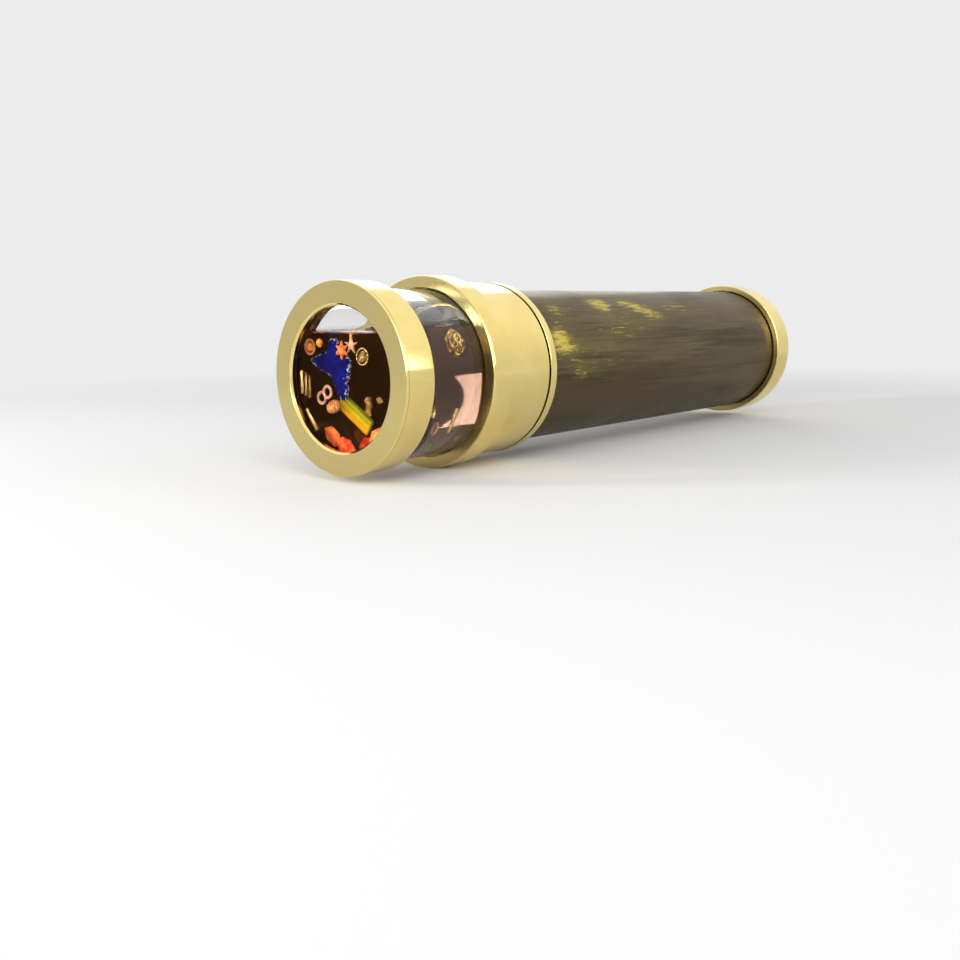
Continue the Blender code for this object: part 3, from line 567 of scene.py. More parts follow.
def turning_marks() -> None:
    """Make the effect of fine lathe marks, with their height and a mask that is 1 on flat faces.

    The marks are noise on the point (station, radius), so they ring the piece on its turned sides
    and lie round the centre on its flat faces.
    """
    graph, given, result = new_effect("turning_marks", {"Marks": 2000.0}, ["Height", "Face"])
    own = graph.parts(graph.place(height=AXIS_HEIGHT))
    across = graph.math("POWER", own[1], 2.0)
    radius = graph.math("SQRT", graph.math("MULTIPLY_ADD", own[2], own[2], across))
    place = graph.add("CombineXYZ", {0: own[0], 1: radius}).outputs[0]
    coarse = graph.noise(place, given.outputs["Marks"], 4.0)
    normal = graph.parts(graph.add("NewGeometry").outputs["Normal"])[0]
    face = graph.spread(graph.math("ABSOLUTE", normal), 0.75, 0.95)
    graph.tree.links.new(coarse, result.inputs["Height"])
    graph.tree.links.new(face, result.inputs["Face"])


def smudges() -> None:
    """Make the effect of handling smudges: a soft noise spread between a low and a high value."""
    inputs = {"Scale": 60.0, "Low": 0.1, "High": 0.2}
    graph, given, result = new_effect("smudges", inputs, ["Value"])
    cloud = graph.noise(graph.place(), given.outputs["Scale"], 5.0)
    settings = {"Value": cloud, "From Min": 0.35, "From Max": 0.65,
                "To Min": given.outputs["Low"], "To Max": given.outputs["High"]}
    graph.tree.links.new(graph.add("MapRange", settings).outputs[0], result.inputs["Value"])


def specks() -> None:
    """Make the effect of specks: 1 in small spots about the cells' middles, 0 between them."""
    graph, given, result = new_effect("specks", {"Scale": 900.0, "Size": 0.2}, ["Mask"])
    inputs = {"Vector": graph.place(), "Scale": given.outputs["Scale"]}
    distance = graph.add("TexVoronoi", inputs).outputs["Distance"]
    mask = graph.math("LESS_THAN", distance, given.outputs["Size"])
    graph.tree.links.new(mask, result.inputs["Mask"])


EFFECTS = {"turning_marks": turning_marks, "smudges": smudges, "specks": specks}


@dataclass(frozen=True)
class Finish:
    """A finish. Its name is its material's name, and the material is made once."""

    name: str

    def material(self) -> bpy.types.Material:
        """Make the finish's material, or find it where it is made already.

        Returns:
            The material.
        """
        if self.name in bpy.data.materials:
            return bpy.data.materials[self.name]
        material = bpy.data.materials.new(self.name)
        graph = emptied(material)
        ends = {"Surface": self.shader(graph), "Volume": self.volume(graph)}
        graph.add("OutputMaterial", {name: end for name, end in ends.items() if end is not None})
        return material

    def shader(self, graph: Graph) -> Socket:
        """Stand for the method with which each finish builds its shader."""
        raise NotImplementedError

    def volume(self, graph: Graph) -> Socket | None:
        """Return None, which leaves the inside of the piece empty."""
        return None


@dataclass(frozen=True)
class PolishedBrass(Finish):
    """Pale polished brass: bright turned sides, rougher satin faces in a darker colour that paints shade,
    faint lathe marks and smudges.
    """

    colour: Colour = (0.87, 0.70, 0.27)
    shade: Colour = (0.78, 0.59, 0.19)
    # matt: the darker colour of the flat faces, which paints shade on them
    matt: Colour = (0.60, 0.485, 0.20)
    polish: float = 0.06
    satin: float = 0.22
    marks: float = 0.06
    mark_scale: float = 1400.0
    mark_depth: float = 0.00002
    smudge_scale: float = 55.0
    smudge_roughness: float = 0.06
    tarnish_scale: float = 35.0
    tarnish_range: Range = (0.40, 0.75)

    def shader(self, graph: Graph) -> Socket:
        """Build the shader.

        Args:
            graph: The material's nodes.

        Returns:
            The shader's output.
        """
        marks = graph.group("turning_marks", marks=self.mark_scale)
        smudge = graph.smudge_value(self.smudge_scale, 0.0, self.smudge_roughness)
        even = graph.blend(marks.outputs["Face"], self.polish, self.satin)
        tarnish = graph.noise(graph.place(), self.tarnish_scale, 4.0)
        colour = graph.mix(graph.spread(tarnish, *self.tarnish_range), self.colour, self.shade)
        # Painted shade: the flat faces take the darker matt colour; their higher roughness is the satin
        # finish
        colour = graph.mix(marks.outputs["Face"], colour, self.matt)
        return graph.add("BsdfPrincipled", {
            "Base Color": colour, "Metallic": 1.0, "Roughness": graph.math("ADD", even, smudge),
            "Normal": graph.bump(marks.outputs["Height"], self.marks, self.mark_depth),
        }).outputs[0]


@dataclass(frozen=True)
class PatinatedBrass(Finish):
    """Burnished dark patina with axial streaks, rubbed through to yellow brass in patches.

    The value rubbed says where the patches lie. Fine streaks along the tube comb their edges, through
    an olive haze to the bare metal.
    """

    dark: Colour = (0.058, 0.044, 0.024)
    grey: Colour = (0.130, 0.104, 0.060)
    brown: Colour = (0.108, 0.078, 0.040)
    olive: Colour = (0.185, 0.150, 0.040)
    bare: Colour = (0.60, 0.46, 0.095)
    edge: Colour = (0.76, 0.74, 0.69)
    broad_waves: Triple = (14.0, 120.0, 120.0)
    streak_waves: Triple = (45.0, 1700.0, 1700.0)
    comb_waves: Triple = (180.0, 1500.0, 1500.0)
    grain_waves: Triple = (1500.0, 3600.0, 3600.0)
    warm_waves: Triple = (20.0, 130.0, 130.0)
    warm_height: float = 0.1
    streak_share: float = 0.45
    broad_share: float = 0.75
    veil_range: Range = (0.46, 0.72)
    warm_range: Range = (0.42, 0.66)
    comb_sway: float = 1.8
    grain_sway: float = 0.9
    haze_sway: float = 0.7
    haze_strength: float = 0.85
    bare_range: Range = (0.46, 1.02)
    scratch_range: Range = (0.68, 0.76)
    scratch_strength: float = 0.75
    pit_scale: float = 420.0
    pit_size: float = 0.07
    pit_strength: float = 0.6
    smudge_scale: float = 45.0
    roughness: Range = (0.26, 0.38)
    bare_gloss: float = -0.06
    patina_metal: float = 0.86
    relief: float = 0.10
    relief_depth: float = 0.00002

    def shader(self, graph: Graph) -> Socket:
        """Build the shader.

        Args:
            graph: The material's nodes.

        Returns:
            The shader's output.
        """
        broad = graph.noise(graph.place(self.broad_waves), 1.0, 5.0)
        streaks = graph.noise(graph.place(self.streak_waves), 1.0, 3.0)
        combs = graph.noise(graph.place(self.comb_waves), 1.0, 4.0)
        grains = graph.noise(graph.place(self.grain_waves), 1.0, 2.0)
        veiled = graph.math("MULTIPLY_ADD", streaks, self.streak_share,
                            graph.math("MULTIPLY", broad, self.broad_share))
        patina = graph.mix(graph.spread(veiled, *self.veil_range), self.dark, self.grey)
        warm = graph.noise(graph.place(self.warm_waves, self.warm_height), 1.0, 3.0)
        patina = graph.mix(graph.spread(warm, *self.warm_range), patina, self.brown)
        rubbed = graph.value("rubbed")
        combed = graph.swayed(rubbed, combs, self.comb_sway)
        combed = graph.swayed(combed, grains, self.grain_sway)
        hazed = graph.swayed(rubbed, streaks, self.haze_sway)
        hazed = graph.spread(hazed, 0.0, 1.0, 0.0, self.haze_strength)
        colour = graph.mix(hazed, patina, self.olive)
        bare = graph.spread(combed, *self.bare_range)
        colour = graph.mix(bare, colour, self.bare)
        scratches = graph.spread(streaks, *self.scratch_range, 0.0, self.scratch_strength)
        colour = graph.mix(scratches, colour, self.dark)
        pits = graph.speck_mask(self.pit_scale, self.pit_size)
        colour = graph.mix(graph.math("MULTIPLY", pits, self.pit_strength), colour, self.dark)
        smudge = graph.smudge_value(self.smudge_scale, *self.roughness)
        roughness = graph.math("MULTIPLY_ADD", bare, self.bare_gloss, smudge)
        return graph.add("BsdfPrincipled", {
            "Base Color": colour, "Metallic": graph.blend(bare, self.patina_metal, 1.0),
            "Roughness": roughness, "Specular Tint": paint(self.edge),
            "Normal": graph.bump(grains, self.relief, self.relief_depth),
        }).outputs[0]


def lets_lamps_through(graph: Graph, shader: Socket, tint: Colour) -> Socket:
    """Let the lamps' light through a glass to what it holds.

    Args:
        graph: The material's nodes.
        shader: The glass's own shader.
        tint: The colour that the lamps' light takes on the way.

    Returns:
        The output of the shader that does both.
    """
    clear = graph.add("BsdfTransparent", {"Color": paint(tint)}).outputs[0]
    shadow = graph.add("LightPath").outputs["Is Shadow Ray"]
    return graph.add("MixShader", {0: shadow, 1: shader, 2: clear}).outputs[0]


@dataclass(frozen=True)
class ClearGlass(Finish):
    """Clear glass, or glass with the oil behind it, with faint wiping marks on its surface.

    The sheen is the share of its reflection that is left where it faces the light. A calmed window
    has lost that share of the reflection on its front face.
    """

    tint: Colour = (0.985, 0.99, 0.985)
    index: float = 1.47
    sheen: Colour = (0.9, 0.9, 0.9)
    calmed: float = 0.0
    wipe_scale: float = 90.0
    wipe_roughness: float = 0.015
    calmed_range: Range = (-0.95, -0.99)

    def shader(self, graph: Graph) -> Socket:
        """Build the shader.

        Args:
            graph: The material's nodes.

        Returns:
            The shader's output.
        """
        wiped = graph.smudge_value(self.wipe_scale, 0.0, self.wipe_roughness)
        glass = graph.add("BsdfPrincipled", {
            "Base Color": paint(self.tint), "Roughness": wiped, "IOR": self.index,
            "Transmission Weight": 1.0, "Specular Tint": paint(self.sheen),
        }).outputs[0]
        if self.calmed > 0.0:
            surface = graph.add("NewGeometry").outputs
            forward = graph.parts(surface["Normal"])[0]
            front = graph.spread(forward, *self.calmed_range, 0.0, self.calmed)
            front = graph.math("MULTIPLY", front, graph.math("SUBTRACT", 1.0, surface["Backfacing"]))
            inputs = {"Color": paint(self.tint), "Roughness": 0.0, "IOR": self.index}
            bare = graph.add("BsdfRefraction", inputs).outputs[0]
            glass = graph.add("MixShader", {0: front, 1: glass, 2: bare}).outputs[0]
        return lets_lamps_through(graph, glass, self.tint)


@dataclass(frozen=True)
class AirInOil(Finish):
    """The surface between the oil and the air above it, seen from the oil."""

    tint: Colour = (1.0, 1.0, 1.0)
    index: float = 1.0 / 1.47
    ripple_waves: Triple = (60.0, 60.0, 60.0)
    ripple: float = 0.05
    ripple_depth: float = 0.0002

    def shader(self, graph: Graph) -> Socket:
        """Build the shader.

        Args:
            graph: The material's nodes.

        Returns:
            The shader's output.
        """
        swell = graph.noise(graph.place(self.ripple_waves), 1.0, 1.0)
        ripple = graph.bump(swell, self.ripple, self.ripple_depth)
        inputs = {"Color": paint(self.tint), "Roughness": 0.0, "IOR": self.index, "Normal": ripple}
        return lets_lamps_through(graph, graph.add("BsdfGlass", inputs).outputs[0], self.tint)


@dataclass(frozen=True)
class AmberOil(Finish):
    """Amber-brown oil, which takes more blue than red out of the light on its way.

    The glass round it bends the light, so its own surface doesn't. Faint clouds cross it, and a slight
    haze in it scatters the light.
    """

    tint: Colour = (0.49, 0.34, 0.25)
    density: float = 124.0
    haze: Colour = (0.84, 0.34, 0.08)
    haze_density: float = 10.0
    clear: Colour = (1.0, 1.0, 1.0)
    cloudy: Colour = (0.93, 0.91, 0.88)
    cloud_waves: Triple = (120.0, 120.0, 120.0)
    cloud_range: Range = (0.4, 0.7)

    def shader(self, graph: Graph) -> Socket:
        """Build the shader.

        Args:
            graph: The material's nodes.

        Returns:
            The shader's output.
        """
        clouds = graph.noise(graph.place(self.cloud_waves), 1.0, 2.0)
        clouded = graph.spread(clouds, *self.cloud_range)
        surface = graph.add("BsdfPrincipled", {
            "Base Color": graph.mix(clouded, self.clear, self.cloudy),
            "Roughness": 0.0, "IOR": 1.0, "Transmission Weight": 1.0,
        }).outputs[0]
        return lets_lamps_through(graph, surface, self.clear)

    def volume(self, graph: Graph) -> Socket:
        """Build the shader of what is inside.

        Args:
            graph: The material's nodes.

        Returns:
            The shader's output.
        """
        inputs = {"Color": paint(self.tint), "Density": self.density}
        taken = graph.add("VolumeAbsorption", inputs).outputs[0]
        inputs = {"Color": paint(self.haze), "Density": self.haze_density}
        spread = graph.add("VolumeScatter", inputs).outputs[0]
        return graph.add("AddShader", {0: taken, 1: spread}).outputs[0]


@dataclass(frozen=True)
class MirrorGlass(Finish):
    """Front-silvered mirror with a little dust."""

    silver: Colour = (0.88, 0.89, 0.90)
    dust: Colour = (0.45, 0.44, 0.42)
    dust_scale: float = 350.0
    dust_size: float = 0.05
    dust_roughness: float = 0.4
    haze_scale: float = 40.0
    haze: Range = (0.01, 0.05)

    def shader(self, graph: Graph) -> Socket:
        """Build the shader.

        Args:
            graph: The material's nodes.

        Returns:
            The shader's output.
        """
        dust = graph.speck_mask(self.dust_scale, self.dust_size)
        haze = graph.smudge_value(self.haze_scale, *self.haze)
        return graph.add("BsdfPrincipled", {
            "Base Color": graph.mix(dust, self.silver, self.dust), "Metallic": 1.0,
            "Roughness": graph.math("MULTIPLY_ADD", dust, self.dust_roughness, haze),
        }).outputs[0]


@dataclass(frozen=True)
class Matt(Finish):
    """A matt, grainy stuff such as card, rubber, felt or foam.

    Noise of the grain's size shades the colour, roughens it and raises the surface.
    """

    colour: Colour = (0.03, 0.03, 0.03)
    light: Colour = (0.06, 0.06, 0.06)
    grain: float = 1500.0
    grain_range: Range = (0.35, 0.7)
    rough: float = 0.7
    rough_range: Range = (0.2, 0.8)
    relief: float = 0.4
    depth: float = 0.00005
    lint_scale_share: float = 0.3
    lint_size: float = 0.06
    lint_strength: float = 0.3

    def shader(self, graph: Graph) -> Socket:
        """Build the shader.

        Args:
            graph: The material's nodes.

        Returns:
            The shader's output.
        """
        grain = graph.noise(graph.place(), self.grain, 4.0)
        lint = graph.speck_mask(self.grain * self.lint_scale_share, self.lint_size)
        colour = graph.mix(graph.spread(grain, *self.grain_range), self.colour, self.light)
        colour = graph.mix(graph.math("MULTIPLY", lint, self.lint_strength), colour, self.light)
        return graph.add("BsdfPrincipled", {
            "Base Color": colour,
            "Roughness": graph.spread(grain, *self.rough_range, self.rough, 1.0),
            "Normal": graph.bump(grain, self.relief, self.depth),
        }).outputs[0]


@dataclass(frozen=True)
class GoldCharm(Finish):
    """Bright rich gold of the small charms, dark in its hollows and down in its grooves.

    The value groove_shade runs to 1 at the bottom of a groove and over a bore, where the painted shade is
    darkest.
    """

    colour: Colour = (1.0, 0.72, 0.26)
    # The darker gold of the random spots, and also the painted shade in grooves and bores
    dark_tone_and_groove_shade: Colour = (0.55, 0.27, 0.05)
    grain: float = 1300.0
    relief: float = 0.35
    relief_depth: float = 0.0001
    dark_tone_range: Range = (0.60, 0.78)
    groove_shade_range: Range = (0.72, 1.0)
    smudge_scale: float = 600.0
    roughness: Range = (0.13, 0.28)

    def shader(self, graph: Graph) -> Socket:
        """Build the shader.

        Args:
            graph: The material's nodes.

        Returns:
            The shader's output.
        """
        hammer = graph.noise(graph.place(), self.grain, 2.0)
        rough = graph.smudge_value(self.smudge_scale, *self.roughness)
        groove_shade = graph.value("groove_shade")
        # Darker where the hammer noise is high, and painted shade where the value groove_shade is high
        dark_tone_and_groove_shade = graph.math("MAXIMUM", graph.spread(hammer, *self.dark_tone_range),
                            graph.spread(groove_shade, *self.groove_shade_range))
        return graph.add("BsdfPrincipled", {
            "Base Color": graph.mix(dark_tone_and_groove_shade, self.colour, self.dark_tone_and_groove_shade),
            "Metallic": 1.0, "Roughness": rough,
            "Normal": graph.bump(hammer, self.relief, self.relief_depth),
        }).outputs[0]


@dataclass(frozen=True)
class CharmGlass(Finish):
    """Coloured charm glass: two tones in clouds, a frosted or crusted rim and a glossy coat.

    The value rim runs to 1 at the chip's edge, where broken specks of the crust colour sit. The value
    groove_shade runs to 1 down in a groove, where the colour turns to the deep tone as painted shade.
    """

    colour: Colour = (0.5, 0.1, 0.1)
    deep_tone_and_groove_shade: Colour = (0.2, 0.02, 0.02)
    crust: Colour = (0.9, 0.9, 0.9)
    crust_share: float = 0.0
    crust_grain: float = 3.0
    crust_sway: float = 1.2
    crust_range: Range = (1.72, 1.80)
    cloud: float = 350.0
    cloud_range: Range = (0.38, 0.66)
    clear: float = 0.0
    index: float = 1.5
    rough: float = 0.12
    rough_range: Range = (0.3, 0.7)
    gloss: float = 0.03
    coat: float = 0.10
    coat_roughness: float = 0.04
    relief: float = 0.35
    relief_depth: float = 0.0001
    groove_shaded: bool = False
    groove_shade_range: Range = (0.35, 0.95)

    def shader(self, graph: Graph) -> Socket:
        """Build the shader.

        Args:
            graph: The material's nodes.

        Returns:
            The shader's output.
        """
        place = graph.place()
        cloud = graph.noise(place, self.cloud, 3.0)
        colour = graph.mix(graph.spread(cloud, *self.cloud_range), self.deep_tone_and_groove_shade, self.colour)
        # Painted shade: the colour turns to the deep tone down in the grooves
        if self.groove_shaded:
            groove_shade = graph.spread(graph.value("groove_shade"), *self.groove_shade_range)
            colour = graph.mix(groove_shade, colour, self.deep_tone_and_groove_shade)
        if self.crust_share > 0.0:
            rim = graph.value("rim")
            broken = graph.noise(place, self.cloud * self.crust_grain, 3.0)
            crust = graph.math("MULTIPLY_ADD", broken, self.crust_sway, rim)
            low, high = (edge - self.crust_share for edge in self.crust_range)
            colour = graph.mix(graph.spread(crust, low, high), colour, self.crust)
        return graph.add("BsdfPrincipled", {
            "Base Color": colour,
            "Roughness": graph.spread(cloud, *self.rough_range, self.rough, self.rough * 2.0),
            "Transmission Weight": self.clear, "IOR": self.index, "Specular IOR Level": self.gloss,
            "Coat Weight": self.coat, "Coat Roughness": self.coat_roughness,
            "Normal": graph.bump(cloud, self.relief, self.relief_depth),
        }).outputs[0]


@dataclass(frozen=True)
class StripedGlass(Finish):
    """Candy-striped cane glass: the value across runs over the stripes, from orange to green."""

    stripes: tuple[tuple[float, Colour], ...] = (
        (0.00, (0.98, 0.26, 0.01)), (0.14, (1.00, 0.50, 0.01)), (0.28, (1.00, 0.62, 0.02)),
        (0.44, (1.00, 0.72, 0.02)), (0.58, (0.94, 0.74, 0.02)), (0.70, (0.45, 0.50, 0.02)),
        (0.82, (0.78, 0.68, 0.03)), (0.92, (0.18, 0.34, 0.02)), (1.00, (0.38, 0.48, 0.03)),
    )
    waver_scale: float = 500.0
    waver_sway: float = 0.10
    waver_range: Range = (0.3, 0.7)
    roughness: Range = (0.08, 0.2)
    gloss: float = 0.03
    coat: float = 0.10
    coat_roughness: float = 0.04
    relief: float = 0.2
    relief_depth: float = 0.00008

    def shader(self, graph: Graph) -> Socket:
        """Build the shader.

        Args:
            graph: The material's nodes.

        Returns:
            The shader's output.
        """
        across = graph.value("across")
        waver = graph.noise(graph.place(), self.waver_scale, 2.0)
        ramp = graph.add("ValToRGB", {0: graph.swayed(across, waver, self.waver_sway)})
        stops = ramp.color_ramp.elements
        for number, (share, colour) in enumerate(self.stripes):
            stop = stops[number] if number < 2 else stops.new(share)
            stop.position = share
            stop.color = paint(colour)
        return graph.add("BsdfPrincipled", {
            "Base Color": ramp.outputs[0],
            "Roughness": graph.spread(waver, *self.waver_range, *self.roughness),
            "Specular IOR Level": self.gloss, "Coat Weight": self.coat,
            "Coat Roughness": self.coat_roughness,
            "Normal": graph.bump(waver, self.relief, self.relief_depth),
        }).outputs[0]


BRASS = PolishedBrass("polished_brass_turned")
PATINA = PatinatedBrass("patinated_brass_tube")
OILED_GLASS = ClearGlass("cell_glass_and_oil_glass", sheen=(0.24, 0.24, 0.24), calmed=0.9)
LENS_GLASS = ClearGlass("ground_lens_glass", tint=(0.97, 0.985, 0.975), index=1.52)
AIR = AirInOil("air_above_the_oil")
SILVER = MirrorGlass("silvered_mirror")
RUBBER = Matt("gasket_rubber", colour=(0.018, 0.016, 0.015), light=(0.045, 0.042, 0.040), rough=0.5)
FELT = Matt("washer_felt", colour=(0.15, 0.13, 0.10), light=(0.28, 0.25, 0.21), grain=2600.0, relief=0.9)
FOAM = Matt("pad_foam", colour=(0.18, 0.18, 0.19), light=(0.36, 0.36, 0.37), grain=1900.0, relief=1.0)
CARD = Matt("plate_card", colour=(0.085, 0.036, 0.018), light=(0.14, 0.065, 0.036), grain=2200.0)
GOLD = GoldCharm("rich_gold")
OIL = AmberOil("amber_oil_glass")
ROSE = CharmGlass("rose_bead_glass", colour=(0.96, 0.66, 0.46), deep_tone_and_groove_shade=(0.80, 0.38, 0.22), cloud=900.0,
                  clear=0.55, index=1.25, coat=0.6)
HONEY = CharmGlass("honey_ring_glass", colour=(0.96, 0.58, 0.30), deep_tone_and_groove_shade=(0.70, 0.26, 0.08), cloud=900.0,
                   clear=0.5, index=1.25, coat=0.5)
COBALT = CharmGlass("cobalt_glass", colour=(0.001, 0.006, 0.17), deep_tone_and_groove_shade=(0.001, 0.002, 0.08),
                    crust=(0.72, 0.78, 0.95), crust_share=0.14, coat=0.05)
CORAL = CharmGlass("coral_glass_frit", colour=(0.90, 0.07, 0.015), deep_tone_and_groove_shade=(0.80, 0.20, 0.05), cloud=1100.0,
                   crust=(0.92, 0.45, 0.22), crust_share=0.12)
BLUSH = CharmGlass("blush_glass_frit", colour=(0.92, 0.52, 0.32), deep_tone_and_groove_shade=(0.72, 0.30, 0.14), cloud=700.0)
SHELL = CharmGlass("shell_bead_glass", colour=(1.0, 0.68, 0.30), deep_tone_and_groove_shade=(0.62, 0.22, 0.05), cloud=700.0,
                   coat=0.3, groove_shaded=True)
AMBER = CharmGlass("amber_glass_bead", colour=(0.95, 0.36, 0.05), deep_tone_and_groove_shade=(0.60, 0.13, 0.02), cloud=900.0)
RUBY = CharmGlass("ruby_glass", colour=(0.90, 0.13, 0.03), deep_tone_and_groove_shade=(0.45, 0.02, 0.01), cloud=420.0, rough=0.08)
FIRE = CharmGlass("fire_glass", colour=(0.95, 0.32, 0.07), deep_tone_and_groove_shade=(0.80, 0.10, 0.03), cloud=420.0, rough=0.08)
LEAF = CharmGlass("leaf_glass", colour=(0.34, 0.44, 0.04), deep_tone_and_groove_shade=(0.10, 0.20, 0.02), cloud=500.0)
STRIPED = StripedGlass("striped_cane_glass")


# Placing pieces


def linked(name: str, data: bpy.types.ID) -> bpy.types.Object:
    """Make an object and link it to the scene.

    Args:
        name: The object's name.
        data: Its mesh, lamp or camera.

    Returns:
        The object.
    """
    made = bpy.data.objects.new(name, data)
    bpy.context.scene.collection.objects.link(made)
    return made


def shown(surface: Surface, name: str, nodes: Sequence[str], body: Body, finish: Finish,
          edge_angle: float = EDGE_ANGLE) -> bpy.types.Object:
    """Make a piece from a surface, dress it and hang it on its body.

    Args:
        surface: The piece's surface, in place.
        name: The piece's name.
        nodes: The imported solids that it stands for.
        body: The body that it moves with.
        finish: Its finish.
        edge_angle: Edges sharper than this stay sharp.

    Returns:
        The piece's object.
    """
    mesh = bpy.data.meshes.new(name)
    rows = [row for block in surface.faces for row in block.tolist()]
    mesh.from_pydata(surface.points.tolist(), [], rows)
    for label, values in surface.values.items():
        layer = mesh.attributes.new(label, "FLOAT", "POINT")
        layer.data.foreach_set("value", values.astype(np.float32))
    mesh.shade_smooth()
    mesh.set_sharp_from_angle(angle=edge_angle)
    mesh.materials.append(finish.material())
    piece = linked(name, mesh)
    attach(piece, body.value)
    if nodes:
        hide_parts(*nodes)
    log.info("%s: %d points on %s", name, len(surface.points), body.value)
    return piece


def brass(surface: Surface, name: str, node: str, body: Body) -> None:
    """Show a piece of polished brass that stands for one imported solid."""
    shown(surface, name, [node], body, BRASS)


def dressed(node: str, finish: Finish) -> None:
    """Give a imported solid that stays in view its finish.

    Args:
        node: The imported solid.
        finish: Its finish.
    """
    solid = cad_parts[node]
    if not solid.material_slots:
        solid.data.materials.append(finish.material())
    for slot in solid.material_slots:
        slot.material = finish.material()
    log.info("%s: packed solid, dressed", node)


def settled(surface: Surface, node: str, yaw: float = 0.0, roll: float = 0.0) -> Surface:
    """Turn a charm's surface and set it in the middle of the box of the solid it stands for.

    Args:
        surface: The charm about its own origin, its depth along X.
        node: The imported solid.
        yaw: Turn about Z in degrees, after the roll.
        roll: Turn about X in degrees.

    Returns:
        The surface in place, drawn in where it would leave the box.
    """
    turn = turn_about("Z", yaw) @ turn_about("X", roll)
    turned_surface = surface.moved(turn)
    low, high = (np.array(corner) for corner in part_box(node))
    least, most = turned_surface.points.min(axis=0), turned_surface.points.max(axis=0)
    fit = min(1.0, float(((high - low) / (most - least)).min()))
    points = (turned_surface.points - (least + most) / 2) * fit + (low + high) / 2
    return Surface(points, surface.faces, surface.values)


@dataclass(frozen=True)
class Span:
    """The stations and the radius of a turned solid, read from its box."""

    front: float
    back: float
    radius: float


def span(node: str) -> Span:
    """Return a turned solid's span, its radius as its packed polygon's corners have it."""
    low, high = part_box(node)
    return Span(low.x - FRONT_X, high.x - FRONT_X, (high.z - low.z) / 2 / ROUND_SHARE)


def plain_ring(at: Span, bore: float, edges: Sequence[float]) -> Surface:
    """Make a plain ring about the axis.

    Args:
        at: Its stations and its outer radius.
        bore: Its inner radius.
        edges: The roundings of its front bore, front rim, back rim and back bore.

    Returns:
        The ring's surface.
    """
    corners = ((at.front, bore), (at.front, at.radius), (at.back, at.radius), (at.back, bore))
    return on_axis(rounded([(*corner, edge) for corner, edge in zip(corners, edges)]))


def plain_disc(at: Span, edge: float) -> Surface:
    """Make a disc or a solid cylinder about the axis, its rims rounded.

    Args:
        at: Its stations and its radius.
        edge: The rounding of its rims.

    Returns:
        The disc's surface.
    """
    corners = ((at.front, 0.0), (at.front, at.radius), (at.back, at.radius), (at.back, 0.0))
    profile = rounded([(*corner, edge) for corner in corners], ring=False)
    return on_axis(profile, (at.front, at.back))


# The object cell


